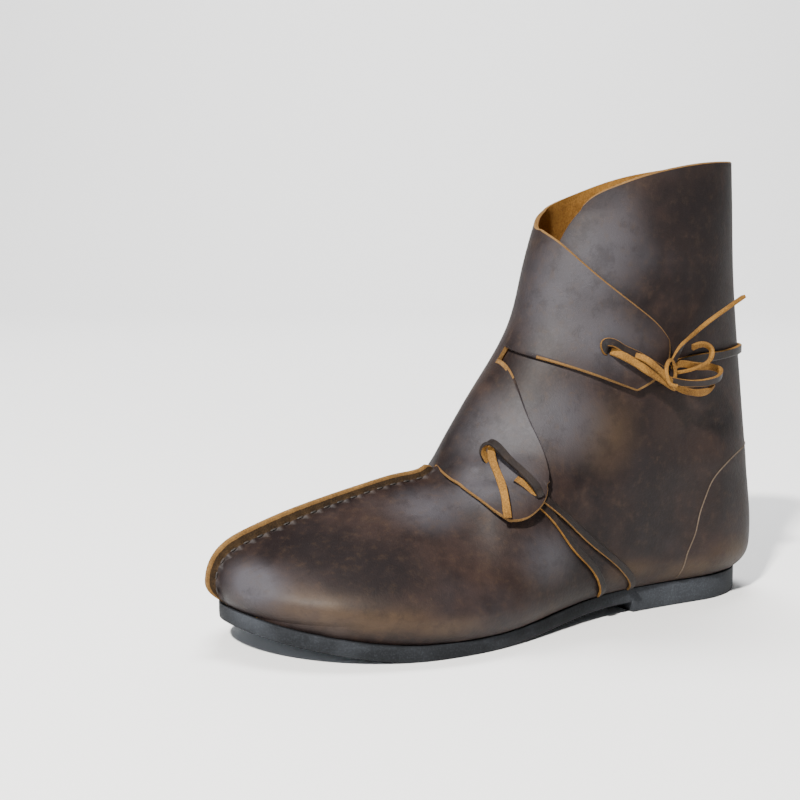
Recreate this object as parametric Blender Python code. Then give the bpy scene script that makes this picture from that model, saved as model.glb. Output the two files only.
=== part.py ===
"""Left ankle boot: one wrapped leather upper on a rubber sole, tied with leather thongs.

Frame: +X is the outer (lateral) side, +Y the heel, -Y the toe, +Z up, floor at Z = 0.
Tables and named sizes are in millimetres, and MM turns them into metres when a mesh is made.
"""
import bmesh
import bpy
import numpy as np

MM = 0.001


def table(columns, *rows):
    """Columns of a short table, by name."""
    return {name: np.array(values, float) for name, values in zip(columns.split(), zip(*rows))}


# Leather and gaps
WALL = 2.0
GAP = 0.3
LAP_GAP = 0.7

# Plan of the sole: half widths each side of the centre line
SOLE_TOE_Y = -134.0
SOLE_HEEL_Y = 130.0
SOLE_PLAN = table(
    "y lateral medial",
    (-134.0, 57.5, 47.5),
    (-78.0, 57.5, 47.5),
    (-48.0, 56.5, 45.0),
    (-13.0, 47.5, 35.0),
    (12.0, 39.0, 30.0),
    (49.0, 32.5, 31.0),
    (95.0, 31.0, 31.0),
    (130.0, 31.0, 31.0),
)
SOLE_TOE_ROUND = 72.0
SOLE_HEEL_ROUND = 38.0
HEEL_CENTRE_X = -1.3
TOE_SWING = -8.0
SWING_FROM_Y = 10.0
SWING_LENGTH = 145.0

# Side view of the sole
SOLE_THICKNESS = 6.5
HEEL_LIFT = 5.0
HEEL_BREAST_Y = 49.0
BREAST_SLOPE = 1.2
BALL_BACK_Y = -40.0
BALL_FRONT_Y = -70.0
TOE_SPRING = 11.0
TOE_SPRING_POWER = 1.6
SOLE_EDGE_ROUND = 1.6
INSOLE_THICKNESS = 2.5
INSOLE_MARGIN = 8.5
INSOLE_EDGE_ROUND = 0.4
SOLE_ROWS = 44
SOLE_COLUMNS = 6
INSOLE_ROWS = 30
INSOLE_COLUMNS = 4

# Side view of the upper: toe, ridge of the vamp, instep and front of the leg
FRONT_LINE = table(
    "y z",
    (-128.0, 16.2),
    (-134.0, 21.5),
    (-137.3, 28.5),
    (-134.8, 36.5),
    (-120.5, 44.5),
    (-101.5, 51.0),
    (-79.0, 57.5),
    (-57.0, 63.0),
    (-41.0, 69.5),
    (-30.0, 81.0),
    (-18.0, 98.0),
    (-4.0, 116.5),
    (6.0, 134.0),
    (12.0, 155.0),
    (21.5, 183.5),
)
HEEL_LINE = table(
    "y z",
    (130.5, 11.8),
    (134.0, 15.5),
    (136.3, 23.0),
    (136.0, 44.0),
    (134.0, 75.0),
    (132.8, 105.0),
    (129.0, 135.0),
    (126.0, 165.0),
    (123.0, 208.0),
)
COLLAR = table(
    "y lateral medial",
    (21.5, 182.5, 182.5),
    (38.0, 193.0, 186.0),
    (51.0, 197.5, 189.5),
    (69.0, 202.0, 195.0),
    (88.0, 204.8, 200.5),
    (108.0, 206.2, 204.5),
    (123.0, 207.0, 207.0),
)
COLLAR_CORNER_DROP = 24.0
COLLAR_CORNER_SHARE = 0.10

# Cross sections of the upper
LEATHER_OVERHANG = 5.5
TUCK_IN = 7.0
TUCK_HEIGHT = 15.0
VAMP_ARCH = 2.3
TOE_ROUND = 80.0
HEEL_ROUND = 42.0
ROUND_POWER = 2.1
LEG_HALF_WIDTH = table(
    "z half",
    (20.0, 46.0),
    (50.0, 44.0),
    (80.0, 39.0),
    (110.0, 35.0),
    (150.0, 33.0),
    (210.0, 33.0),
)
LEG_FROM_Z = 35.0
LEG_BLEND = 85.0
RIDGE_RISE = 3.3

# Sections of the foot: where each starts on the front line and ends on the sole's seat
FOOT_SECTIONS = table(
    "front_z base_y",
    (16.2, -128.0),
    (21.5, -124.0),
    (28.5, -118.0),
    (36.5, -110.0),
    (44.5, -99.0),
    (51.0, -84.0),
    (57.5, -65.0),
    (63.0, -41.0),
    (69.5, -15.0),
    (79.0, 9.0),
    (88.0, 32.0),
    (98.0, 55.0),
    (108.0, 79.0),
    (116.5, 101.0),
    (122.0, 120.0),
    (132.0, 130.5),
)
SEAM_SECTION = 8
LOW_FLAP_SECTION = 13
HIGH_FLAP_SECTION = 14
SECTION_STEPS = 2
EVEN_UP_TO_Z = 70.0
EASED_OVER_Z = 60.0
LEAST_EASING = 0.35
HEEL_ROW_POWER = 1.8
NORMAL_STEP = 0.2
LEG_ROWS = 8
SIDE_COLUMNS = 16

# Raised seam along the ridge of the vamp
SEAM_HEIGHT = 4.0
SEAM_HALF_WIDTH = 1.7
SEAM_TAPER_Z = 12.0
SEAM_SINK = 0.6

# The two flaps that wrap from the inner side over the outer panel
LAP_FADE = 42.0
LAP_RISE = 8.0
FLAP_COLUMNS = 9
FLAP_SPREAD = 1.35
LIFT_FROM = -0.6
LOW_FLAP_FOOT = table("y z", (-37.5, 67.0), (-33.0, 59.8), (-26.0, 53.0))
LOW_FLAP_HEAD = table("y z", (-5.6, 109.6), (-3.6, 92.0), (-1.3, 76.0), (-2.4, 67.6))
LOW_FLAP_END = table("y z", (-26.0, 53.0), (-17.0, 56.0), (-8.5, 61.5), (-2.4, 67.6))
LOW_FLAP_LIFT = 2.6
HIGH_FLAP_FOOT = table("y z", (7.5, 117.1), (16.8, 113.6), (37.2, 105.7), (46.0, 102.5))
HIGH_FLAP_HEAD = table("y z", (17.6, 169.7), (29.6, 155.6), (50.9, 138.6), (65.5, 123.0))
HIGH_FLAP_END = table("y z", (46.0, 102.5), (56.0, 107.0), (64.0, 115.0), (65.5, 123.0))
HIGH_FLAP_LIFT = 0.8

# Thongs: flat bands on the leather, and round cords for the tied ends
THONG_WIDTH = 4.4
THONG_THICKNESS = 1.8
THONG_GAP = 0.6
THONG_POINTS = 13
CORD_RADIUS = 1.7
CORD_SPACING = 7.0
CORD_RINGS = 2
INSTEP_FRONT_THONG = table(
    "y z",
    (-12.5, 60.5),
    (-8.1, 55.7),
    (-4.8, 52.1),
    (6.0, 38.6),
    (21.3, 22.9),
    (26.5, 15.5),
)
INSTEP_BACK_THONG = table(
    "y z",
    (-5.6, 60.8),
    (-1.8, 56.5),
    (6.9, 47.5),
    (21.2, 35.9),
    (41.4, 20.1),
    (45.5, 15.8),
)
ANKLE_FLAP_THONG = table(
    "y z",
    (33.5, 122.8),
    (37.0, 119.9),
    (43.0, 115.9),
    (50.0, 111.3),
    (56.5, 106.8),
)
ANKLE_BACK_THONG = table(
    "turn z",
    (100.0, 115.3),
    (118.0, 116.1),
    (138.0, 117.2),
    (160.0, 117.6),
    (184.0, 117.4),
)
CORDS = {
    "instep_thong_front_end": table(
        "y z stand", (-20.5, 75.0, 6.2), (-21.5, 68.0, 6.6), (-23.5, 61.0, 7.0), (-25.5, 54.0, 7.3)),
    "instep_thong_back_end": table(
        "y z stand", (-15.5, 74.0, 6.6), (-14.0, 68.5, 7.0), (-12.5, 63.0, 7.4), (-11.0, 58.0, 7.6)),
    "ankle_thong_knot": table(
        "y z stand", (61.0, 116.3, 6.6), (58.8, 113.0, 7.7), (58.6, 109.0, 8.0), (63.0, 106.0, 6.6)),
    "ankle_thong_loop": table(
        "y z stand", (64.9, 115.8, 6.0), (73.0, 113.2, 6.0), (82.2, 111.8, 7.0), (88.1, 110.6, 8.5),
        (87.3, 107.6, 11.0), (78.8, 105.6, 12.0), (70.0, 105.0, 12.0), (65.0, 106.4, 11.0)),
    "ankle_thong_strip": table(
        "y z stand", (65.6, 103.6, 5.4), (76.3, 100.4, 4.2), (90.5, 101.4, 2.4)),
    "ankle_thong_curl": table(
        "y z stand", (78.8, 114.8, 9.2), (82.4, 117.2, 9.8), (83.4, 120.4, 9.6), (80.0, 123.0, 9.0),
        (73.5, 122.5, 8.6)),
    "ankle_thong_end": table(
        "y z stand", (64.1, 118.5, 6.3), (69.5, 122.8, 5.2), (78.9, 129.8, 6.5), (90.9, 138.0, 9.5),
        (102.8, 145.0, 13.0)),
}

# Middle of the boot's box in plan, where the part's own frame stands
ORIGIN_X = 0.2
ORIGIN_Y = -2.3


def natural_spline(knots, values):
    """Natural cubic through the values at the knots, as a function."""
    gaps = np.diff(knots)
    count = len(knots)
    matrix = np.eye(count)
    right = np.zeros(count)
    for i in range(1, count - 1):
        matrix[i, i - 1:i + 2] = gaps[i - 1], 2 * (gaps[i - 1] + gaps[i]), gaps[i]
        right[i] = 6 * ((values[i + 1] - values[i]) / gaps[i] - (values[i] - values[i - 1]) / gaps[i - 1])
    bend = np.linalg.solve(matrix, right)

    def curve(at):
        at = np.asarray(at, float)
        i = np.clip(np.searchsorted(knots, at) - 1, 0, count - 2)
        gap = gaps[i]
        a = (knots[i + 1] - at) / gap
        b = (at - knots[i]) / gap
        lift = ((a ** 3 - a) * bend[i] + (b ** 3 - b) * bend[i + 1]) * gap ** 2 / 6
        return a * values[i] + b * values[i + 1] + lift

    return curve


def through(*columns, count=400):
    """Points spaced along the smooth curve through the rows of some columns."""
    steps = np.sqrt(sum(np.diff(column) ** 2 for column in columns))
    knots = np.concatenate([[0.0], np.cumsum(steps)])
    at = np.linspace(0.0, knots[-1], count)
    return [natural_spline(knots, column)(at) for column in columns]


def smooth(x):
    """Smooth step from 0 to 1."""
    x = np.clip(x, 0.0, 1.0)
    return x * x * (3 - 2 * x)


def rounded(distance, length, power=2.0):
    """Half width of a rounded end, as a share, at a distance from its tip."""
    return (1 - (1 - np.clip(distance / length, 0, 1)) ** power) ** (1 / power)


FRONT_Y, FRONT_Z = through(FRONT_LINE["y"], FRONT_LINE["z"])
HEEL_Y, HEEL_Z = through(HEEL_LINE["y"], HEEL_LINE["z"])
NOSE = int(np.argmin(FRONT_Y))
sole_lateral = natural_spline(SOLE_PLAN["y"], SOLE_PLAN["lateral"])
sole_medial = natural_spline(SOLE_PLAN["y"], SOLE_PLAN["medial"])
leg_half = natural_spline(LEG_HALF_WIDTH["z"], LEG_HALF_WIDTH["half"])
collar_z = {True: natural_spline(COLLAR["y"], COLLAR["lateral"]),
            False: natural_spline(COLLAR["y"], COLLAR["medial"])}


def front_y(z):
    """Front line's place at a height."""
    return np.interp(z, FRONT_Z, FRONT_Y)


def back_y(z):
    """Heel line's place at a height."""
    return np.interp(z, HEEL_Z, HEEL_Y)


def ridge_z(y):
    """Height of the front line above a place, carried on past the collar."""
    past = RIDGE_RISE * np.maximum(y - FRONT_Y[-1], 0)
    return np.interp(y, FRONT_Y[NOSE:], FRONT_Z[NOSE:]) + past


def centre_x(y):
    """Centre line of the foot in plan, swung inwards at the toe."""
    return HEEL_CENTRE_X + TOE_SWING * smooth((SWING_FROM_Y - y) / SWING_LENGTH)


def toe_rise(y):
    """Lift of the sole towards the toe."""
    run = (BALL_FRONT_Y - y) / (BALL_FRONT_Y - SOLE_TOE_Y)
    return TOE_SPRING * np.clip(run, 0, 1.2) ** TOE_SPRING_POWER


def waist_rise(y):
    """Lift of the sole from the ball to the heel."""
    return HEEL_LIFT * smooth((y - BALL_BACK_Y) / (HEEL_BREAST_Y - BALL_BACK_Y))


def seat_z(y):
    """Top of the sole."""
    return SOLE_THICKNESS + toe_rise(y) + waist_rise(y)


def floor_z(y):
    """Underside of the sole, down to the floor under the heel."""
    heel = smooth((y - HEEL_BREAST_Y) / BREAST_SLOPE)
    return toe_rise(y) + waist_rise(y) * (1 - heel)


def plan_half(y, lateral):
    """Half width of the sole's plan before its ends are rounded."""
    y = np.clip(y, SOLE_TOE_Y, SOLE_HEEL_Y)
    return sole_lateral(y) if lateral else sole_medial(y)


def foot_half(y, z, lateral):
    """Half width of the foot: plan, rounded ends, tucked foot edge and arched vamp."""
    seat = seat_z(y) + GAP
    half = plan_half(y, lateral) + LEATHER_OVERHANG
    half = half - TUCK_IN * (1 - np.clip((z - seat) / TUCK_HEIGHT, 0, 1)) ** 2
    nose_y = np.where(z < FRONT_Z[NOSE], front_y(z), FRONT_Y[NOSE])
    half = half * rounded(y - nose_y, TOE_ROUND, ROUND_POWER)
    half = half * rounded(back_y(z) - y, HEEL_ROUND, ROUND_POWER)
    share = np.clip((z - seat) / (ridge_z(y) - seat), 0, 1)
    return half * (1 - share ** VAMP_ARCH)


def leg_half_width(y, z):
    """Half width of the leg: an ellipse between the front and heel lines."""
    front = front_y(z)
    share = np.clip((y - front) / (back_y(z) - front), 0, 1)
    return leg_half(z) * np.sqrt(np.maximum(1 - (2 * share - 1) ** 2, 0))


def leather_point(y, z, lateral):
    """Point of the upper's outer face on one side, from its place in the side view."""
    y = np.asarray(y, float)
    z = np.asarray(z, float)
    leg = smooth((z - LEG_FROM_Z) / LEG_BLEND)
    half = (1 - leg) * foot_half(y, z, lateral) + leg * leg_half_width(y, z)
    return np.stack([centre_x(y) + (half if lateral else -half), y, z], axis=-1)


def leather_normal(y, z, lateral):
    """Outward direction of the upper's outer face, from small steps along and up."""
    along = leather_point(y + NORMAL_STEP, z, lateral) - leather_point(y - NORMAL_STEP, z, lateral)
    up = leather_point(y, z + NORMAL_STEP, lateral) - leather_point(y, z - NORMAL_STEP, lateral)
    normal = unit(np.cross(along, up))
    side = np.where(normal[..., :1] < 0, -1.0, 1.0)
    return normal * side * (1 if lateral else -1)


def lap_recess(y, z):
    """How far the outer panel sinks under the flaps, near the front line."""
    near = smooth(1 - (y - front_y(z)) / LAP_FADE)
    above = smooth((z - FOOT_SECTIONS["front_z"][SEAM_SECTION]) / LAP_RISE)
    return (WALL + LAP_GAP) * near * above


def unit(vectors):
    """Vectors of length one."""
    return vectors / np.linalg.norm(vectors, axis=-1, keepdims=True)


def grid_normals(points, outward):
    """Normals of a grid of points, turned to the side of the given directions."""
    normals = unit(np.cross(np.gradient(points, axis=1), np.gradient(points, axis=0)) + 1e-12)
    flip = np.sum(normals * outward, axis=-1, keepdims=True) < 0
    return np.where(flip, -normals, normals)


def line_normal(y_line, z_line, z, sign):
    """Normal, in the side view, of the front or heel line at some heights."""
    slope = np.gradient(y_line, z_line)
    run = np.interp(z, z_line, slope)
    normal = np.stack([np.zeros_like(run), np.ones_like(run), -run], axis=-1)
    return unit(normal) * sign


def section_rows():
    """Sections of the upper as (y, z) grids, one for each side, with their front heights."""
    count = len(FOOT_SECTIONS["front_z"])
    at = np.linspace(0, count - 1, (count - 1) * SECTION_STEPS + 1)
    front_z = np.interp(at, np.arange(count), FOOT_SECTIONS["front_z"])
    base_y = np.interp(at, np.arange(count), FOOT_SECTIONS["base_y"])
    even = np.linspace(0, 1, SIDE_COLUMNS + 1)
    eased = (1 - np.cos(np.pi * even)) / 2
    easing = np.clip((front_z - EVEN_UP_TO_Z) / EASED_OVER_Z, 0, 1)[:, None]
    easing = LEAST_EASING + (1 - LEAST_EASING) * easing
    across = easing * eased + (1 - easing) * even
    foot_y = front_y(front_z)[:, None] * (1 - across) + base_y[:, None] * across
    foot_z = front_z[:, None] * (1 - across) + (seat_z(base_y) + GAP)[:, None] * across
    last_y, last_z = foot_y[-1], foot_z[-1]
    last_share = (last_y - front_y(last_z)) / (back_y(last_z) - front_y(last_z))
    collar_y = FRONT_Y[-1] + eased * (HEEL_Y[-1] - FRONT_Y[-1])
    rise = np.linspace(0, 1, LEG_ROWS + 1)[1:, None] ** (1 + (HEEL_ROW_POWER - 1) * eased)
    sides = {}
    for lateral in (True, False):
        top = collar_z[lateral](collar_y)
        if lateral:
            top = top - COLLAR_CORNER_DROP * (1 - smooth(eased / COLLAR_CORNER_SHARE))
        leg_z = last_z * (1 - rise) + top * rise
        share = last_share * (1 - rise) + eased * rise
        leg_y = front_y(leg_z) + share * (back_y(leg_z) - front_y(leg_z))
        sides[lateral] = np.vstack([foot_y, leg_y]), np.vstack([foot_z, leg_z])
    return sides


def to_metres(point):
    """Point in the part's own frame, in metres."""
    x, y, z = (float(value) for value in point)
    return (x - ORIGIN_X) * MM, (y - ORIGIN_Y) * MM, z * MM


class Shell:
    """Vertices by name and faces, gathered into one closed mesh."""

    def __init__(self):
        self.index = {}
        self.points = []
        self.faces = []

    def add(self, key, point):
        """Adds a named vertex once and returns its name."""
        if key not in self.index:
            self.index[key] = len(self.points)
            self.points.append(to_metres(point))
        return key

    def face(self, *keys):
        """Adds a face through named vertices, dropping repeated ones."""
        corners = []
        for key in keys:
            corner = self.index[key]
            if corner not in corners:
                corners.append(corner)
        if len(corners) > 2:
            self.faces.append(corners)

    def strip(self, first, second):
        """Adds the faces between two rows of names."""
        for a, b, c, d in zip(first, first[1:], second[1:], second):
            self.face(a, b, c, d)


def new_object(name, points, faces, colour, roughness):
    """Object with a closed, outward mesh and a material of its own."""
    mesh = bpy.data.meshes.new(name)
    mesh.from_pydata(points, [], faces)
    form = bmesh.new()
    form.from_mesh(mesh)
    bmesh.ops.recalc_face_normals(form, faces=form.faces)
    form.to_mesh(mesh)
    form.free()
    mesh.shade_smooth()
    mesh.set_sharp_from_angle(angle=SHARP_ANGLE)
    obj = bpy.data.objects.new(name, mesh)
    dress(obj, colour, roughness)
    bpy.context.scene.collection.objects.link(obj)
    return obj


def dress(obj, colour, roughness):
    """Gives an object its Principled material."""
    material = bpy.data.materials.new(obj.name)
    material.use_nodes = True
    shader = material.node_tree.nodes["Principled BSDF"]
    shader.inputs["Base Color"].default_value = (*colour, 1.0)
    shader.inputs["Roughness"].default_value = roughness
    shader.inputs["Metallic"].default_value = 0.0
    obj.data.materials.append(material)


BROWN = (0.045, 0.030, 0.024)
TAN = (0.55, 0.35, 0.11)
RUBBER = (0.066, 0.080, 0.102)
INSOLE_BROWN = (0.30, 0.18, 0.08)
SATIN = 0.55
MATT = 0.8
SHARP_ANGLE = np.radians(40)


def plate_rows(heel_y, toe_y, count):
    """Places along a sole plate, closer together at its round ends and at the heel breast."""
    turn = np.linspace(0, np.pi, count)
    rows = (heel_y + toe_y) / 2 + (heel_y - toe_y) / 2 * np.cos(turn)
    rows = rows[np.abs(rows - HEEL_BREAST_Y) > 4 * BREAST_SLOPE]
    breast = [HEEL_BREAST_Y + BREAST_SLOPE, HEEL_BREAST_Y]
    return np.sort(np.concatenate([rows, breast]))[::-1]


def plate(name, margin, bottom, top, edge_round, colour, count, across):
    """Plate with the sole's plan, between two heights given along its length."""
    heel_y = SOLE_HEEL_Y - margin
    toe_y = SOLE_TOE_Y + margin
    shell = Shell()
    rows = plate_rows(heel_y, toe_y, count)
    loops = []
    for r, y in enumerate(rows):
        end = r in (0, len(rows) - 1)
        halves = []
        for lateral in (True, False):
            half = plan_half(y, lateral) - margin
            half = half * rounded(y - toe_y, SOLE_TOE_ROUND) * rounded(heel_y - y, SOLE_HEEL_ROUND)
            halves.append(float(half))
        low, high = float(bottom(y)), float(top(y))
        share = np.linspace(-1, 1, across + 1)
        edges = [("top", share, high, 0.0), ("mid", share[[0, -1]], low + edge_round, 0.0),
                 ("low", share, low, edge_round)]
        keys = {}
        for level, places, z, inset in edges:
            keys[level] = []
            for place in places:
                half = max(halves[0] if place > 0 else halves[1], edge_round) - inset
                x = centre_x(y) + (0.0 if end else place * half)
                key = (level, r) if end else (level, r, round(float(place), 4))
                keys[level].append(shell.add(key, (x, y, z)))
        loop = keys["top"] + [keys["mid"][-1]] + keys["low"][::-1] + [keys["mid"][0]]
        loops.append(loop + loop[:1])
    for first, second in zip(loops, loops[1:]):
        shell.strip(second, first)
    return new_object(name, shell.points, shell.faces, colour, MATT)


def flap_grid(front_points, foot, head, end):
    """Places in the side view of a flap between its four edges."""
    rows = len(front_points)
    across = np.linspace(0, 1, FLAP_COLUMNS + 1)
    up = np.linspace(0, 1, rows)
    foot_edge = np.stack(through(*(np.append(front_points[0][k], foot[c]) for k, c in enumerate("yz"))), 1)
    head_edge = np.stack(through(*(np.append(front_points[-1][k], head[c]) for k, c in enumerate("yz"))), 1)
    end_edge = np.stack(through(end["y"], end["z"]), 1)
    pick = np.linspace(0, 1, len(end_edge))

    def along(edge, at):
        return np.stack([np.interp(at, pick, edge[:, k]) for k in (0, 1)], 1)

    eased = across ** FLAP_SPREAD
    low, high = along(foot_edge, eased)[None], along(head_edge, eased)[None]
    near, far = front_points[:, None], along(end_edge, up)[:, None]
    r, c = up[:, None, None], eased[None, :, None]
    corners = (1 - r) * ((1 - c) * near[:1] + c * far[:1]) + r * ((1 - c) * near[-1:] + c * far[-1:])
    grid = (1 - r) * low + r * high + (1 - c) * near + c * far - corners
    grid[..., 0] = np.maximum(grid[..., 0], front_y(grid[..., 1]))
    return grid


def build_upper():
    """Hollow leather upper with its raised seam and both flaps, as one solid."""
    sides = section_rows()
    rows = len(sides[True][0])
    columns = SIDE_COLUMNS
    seam = SEAM_SECTION * SECTION_STEPS
    low_flap_top = LOW_FLAP_SECTION * SECTION_STEPS
    high_flap_foot = HIGH_FLAP_SECTION * SECTION_STEPS
    heel = (len(FOOT_SECTIONS["front_z"]) - 1) * SECTION_STEPS
    shell = Shell()
    outer, inner = {}, {}
    front_z = sides[False][1][:, 0]
    front_normal = line_normal(FRONT_Y, FRONT_Z, front_z, -1)
    ridge = np.stack([centre_x(front_y(front_z)), front_y(front_z), front_z], axis=1)
    under_ridge = ridge - WALL * front_normal

    for lateral, (y, z) in sides.items():
        points = leather_point(y, z, lateral)
        aim = np.zeros_like(points)
        aim[..., 0] = 1 if lateral else -1
        normals = grid_normals(points, aim)
        normals[:, 0] = line_normal(FRONT_Y, FRONT_Z, z[:, 0], -1)
        normals[heel:, -1] = line_normal(HEEL_Y, HEEL_Z, z[heel:, -1], 1)
        normals[0] = front_normal[0]
        if lateral:
            points = points - lap_recess(y, z)[..., None] * normals
        inside = points - WALL * normals
        inside[:heel + 1, -1, 2] = points[:heel + 1, -1, 2]
        tag = "lateral" if lateral else "medial"
        sign = 1 if lateral else -1
        outer[lateral], inner[lateral] = [], []
        for j in range(rows):
            out_row, in_row = [], []
            for i in range(columns + 1):
                here = tag
                if j == 0:
                    out_key, in_key = "toe_out", "toe_in"
                elif j >= heel and i == columns:
                    out_key, in_key = ("heel_out", j), ("heel_in", j)
                elif i == 0 and j <= seam:
                    out_key, in_key = ("seam_foot", here, j), ("ridge_in", j)
                else:
                    out_key, in_key = (here, "out", j, i), (here, "in", j, i)
                out_point, in_point = points[j, i], inside[j, i]
                if i == 0 and j <= seam:
                    out_point = ridge[j] - SEAM_SINK * front_normal[j]
                    out_point = out_point + np.array([sign * SEAM_HALF_WIDTH, 0, 0])
                    in_point = under_ridge[j]
                if j == 0:
                    out_point, in_point = ridge[0], under_ridge[0]
                    in_point[2] = out_point[2]
                out_row.append(shell.add(out_key, out_point))
                in_row.append(shell.add(in_key, in_point))
            outer[lateral].append(out_row)
            inner[lateral].append(in_row)

    for lateral in (True, False):
        for j in range(rows - 1):
            pairs = [(outer[lateral][j], outer[lateral][j + 1]), (inner[lateral][j + 1], inner[lateral][j])]
            for first, second in pairs:
                shell.strip(*((first, second) if lateral else (second, first)))

    crest = {}
    for j in range(seam + 1):
        height = SEAM_HEIGHT * smooth((front_z[j] - front_z[0]) / SEAM_TAPER_Z)
        for tag, sign in (("lateral", 1), ("medial", -1)):
            point = ridge[j] + height * front_normal[j] + np.array([sign * SEAM_HALF_WIDTH, 0, 0])
            key = "toe_out" if j == 0 else ("crest", tag, j)
            crest[tag, j] = shell.add(key, point)
    for j in range(seam):
        chain = []
        for k in (j, j + 1):
            chain.append([outer[True][k][0], crest["lateral", k], crest["medial", k], outer[False][k][0]])
        shell.strip(chain[1], chain[0])
    above = outer[False][seam + 1][0]
    shell.face(outer[False][seam][0], crest["medial", seam], above)
    shell.face(crest["medial", seam], crest["lateral", seam], above)
    shell.face(inner[True][seam][0], outer[True][seam][0], inner[False][seam + 1][0])

    flaps = (
        ("low_flap", seam, low_flap_top, LOW_FLAP_FOOT, LOW_FLAP_HEAD, LOW_FLAP_END, LOW_FLAP_LIFT),
        ("high_flap", high_flap_foot, rows - 1, HIGH_FLAP_FOOT, HIGH_FLAP_HEAD, HIGH_FLAP_END,
         HIGH_FLAP_LIFT),
    )
    for tag, first, last, foot, head, end, lift in flaps:
        span = np.arange(first, last + 1)
        grid = flap_grid(ridge[span][:, 1:], foot, head, end)
        y, z = grid[..., 0], grid[..., 1]
        points = leather_point(y, z, True)
        aim = np.zeros_like(points)
        aim[..., 0] = 1
        normals = grid_normals(points, aim)
        normals[:, 0] = front_normal[span]
        stand = (WALL + LAP_GAP) - lap_recess(y, z) + lift * smooth(np.linspace(LIFT_FROM, 1, y.shape[1]))
        points = points + stand[..., None] * normals
        inside = points - WALL * normals
        out_rows, in_rows = [], []
        for r, j in enumerate(span):
            out_row = [outer[False][j][0]]
            in_row = [inner[False][j][0]]
            if j == seam:
                out_row = [crest["lateral", seam]]
                in_row = [outer[True][seam][0]]
            for c in range(1, y.shape[1]):
                out_row.append(shell.add((tag, "out", r, c), points[r, c]))
                in_row.append(shell.add((tag, "in", r, c), inside[r, c]))
            out_rows.append(out_row)
            in_rows.append(in_row)
        for r in range(len(span) - 1):
            shell.strip(out_rows[r + 1], out_rows[r])
            shell.strip(in_rows[r], in_rows[r + 1])
        shell.strip(out_rows[0], in_rows[0])
        shell.strip(in_rows[-1], out_rows[-1])
        shell.strip([row[-1] for row in out_rows], [row[-1] for row in in_rows])

    notch = range(low_flap_top, high_flap_foot + 1)
    shell.strip([outer[False][j][0] for j in notch], [inner[False][j][0] for j in notch])
    free = range(seam, rows)
    shell.strip([inner[True][j][0] for j in free], [outer[True][j][0] for j in free])
    shell.strip(inner[True][-1], outer[True][-1])
    shell.strip(outer[False][-1], inner[False][-1])
    seat = range(heel + 1)
    shell.strip([outer[True][j][-1] for j in seat], [inner[True][j][-1] for j in seat])
    shell.strip([inner[False][j][-1] for j in seat], [outer[False][j][-1] for j in seat])
    return new_object("upper", shell.points, shell.faces, BROWN, SATIN)


def leather_route(route, stand):
    """Points along a band's underside on the outer panel, with the leather's normals there."""
    y, z = through(route["y"], route["z"], count=THONG_POINTS)
    normals = leather_normal(y, z, True)
    return leather_point(y, z, True) + stand * normals, normals


def leg_route(route, stand):
    """Points along a band's underside round the leg, with the leg's normals in plan."""
    turn, z = through(route["turn"], route["z"], count=THONG_POINTS)
    turn = np.radians(turn)
    depth = (back_y(z) - front_y(z)) / 2
    y = front_y(z) + depth * (1 - np.cos(turn))
    x = centre_x(y) + leg_half(z) * np.sin(turn)
    normals = unit(np.stack([depth * np.sin(turn), -leg_half(z) * np.cos(turn), 0 * z], axis=1))
    return np.stack([x, y, z], axis=1) + stand * normals, normals


def band(name, points, normals):
    """Flat thong of one width and thickness along a route on the leather."""
    across = unit(np.cross(normals, np.gradient(points, axis=0))) * THONG_WIDTH / 2
    rise = THONG_THICKNESS * normals
    corners = np.stack([points - across, points + across, points + across + rise, points - across + rise], 1)
    shell = Shell()
    loops = []
    for r, ring in enumerate(corners):
        keys = [shell.add((r, k), point) for k, point in enumerate(ring)]
        loops.append(keys + keys[:1])
    for first, second in zip(loops, loops[1:]):
        shell.strip(first, second)
    shell.face(*loops[0][3::-1])
    shell.face(*loops[-1][:4])
    return new_object(name, shell.points, shell.faces, BROWN, SATIN)


def cord(name, route):
    """Round tied end of a thong along a route standing off the leather."""
    y, z = route["y"], route["z"]
    knots = leather_point(y, z, True) + route["stand"][:, None] * leather_normal(y, z, True)
    length = np.sum(np.linalg.norm(np.diff(knots, axis=0), axis=1))
    count = max(int(round(length / CORD_SPACING)), 3) + 1
    points = np.stack(through(*knots.T, count=count), axis=1)
    curve = bpy.data.curves.new(name, "CURVE")
    curve.dimensions = "3D"
    curve.bevel_depth = CORD_RADIUS * MM
    curve.bevel_resolution = CORD_RINGS
    curve.use_fill_caps = True
    spline = curve.splines.new("POLY")
    spline.points.add(count - 1)
    for point, place in zip(spline.points, points):
        point.co = (*to_metres(place), 1.0)
    obj = bpy.data.objects.new(name, curve)
    dress(obj, TAN, MATT)
    bpy.context.scene.collection.objects.link(obj)
    return obj


def clear_scene():
    """Removes whatever the scene holds."""
    for obj in list(bpy.data.objects):
        bpy.data.objects.remove(obj, do_unlink=True)


def main():
    """Builds the boot, piece by piece."""
    clear_scene()
    plate("outsole", 0.0, floor_z, seat_z, SOLE_EDGE_ROUND, RUBBER, SOLE_ROWS, SOLE_COLUMNS)
    plate("insole", INSOLE_MARGIN, lambda y: seat_z(y) + GAP, lambda y: seat_z(y) + GAP + INSOLE_THICKNESS,
          INSOLE_EDGE_ROUND, INSOLE_BROWN, INSOLE_ROWS, INSOLE_COLUMNS)
    build_upper()
    flap_stand = WALL + LAP_GAP + HIGH_FLAP_LIFT + THONG_GAP
    band("instep_thong_front", *leather_route(INSTEP_FRONT_THONG, THONG_GAP))
    band("instep_thong_back", *leather_route(INSTEP_BACK_THONG, THONG_GAP))
    band("ankle_thong_flap", *leather_route(ANKLE_FLAP_THONG, flap_stand))
    band("ankle_thong_back", *leg_route(ANKLE_BACK_THONG, THONG_GAP))
    for name, route in CORDS.items():
        cord(name, route)


main()
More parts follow.
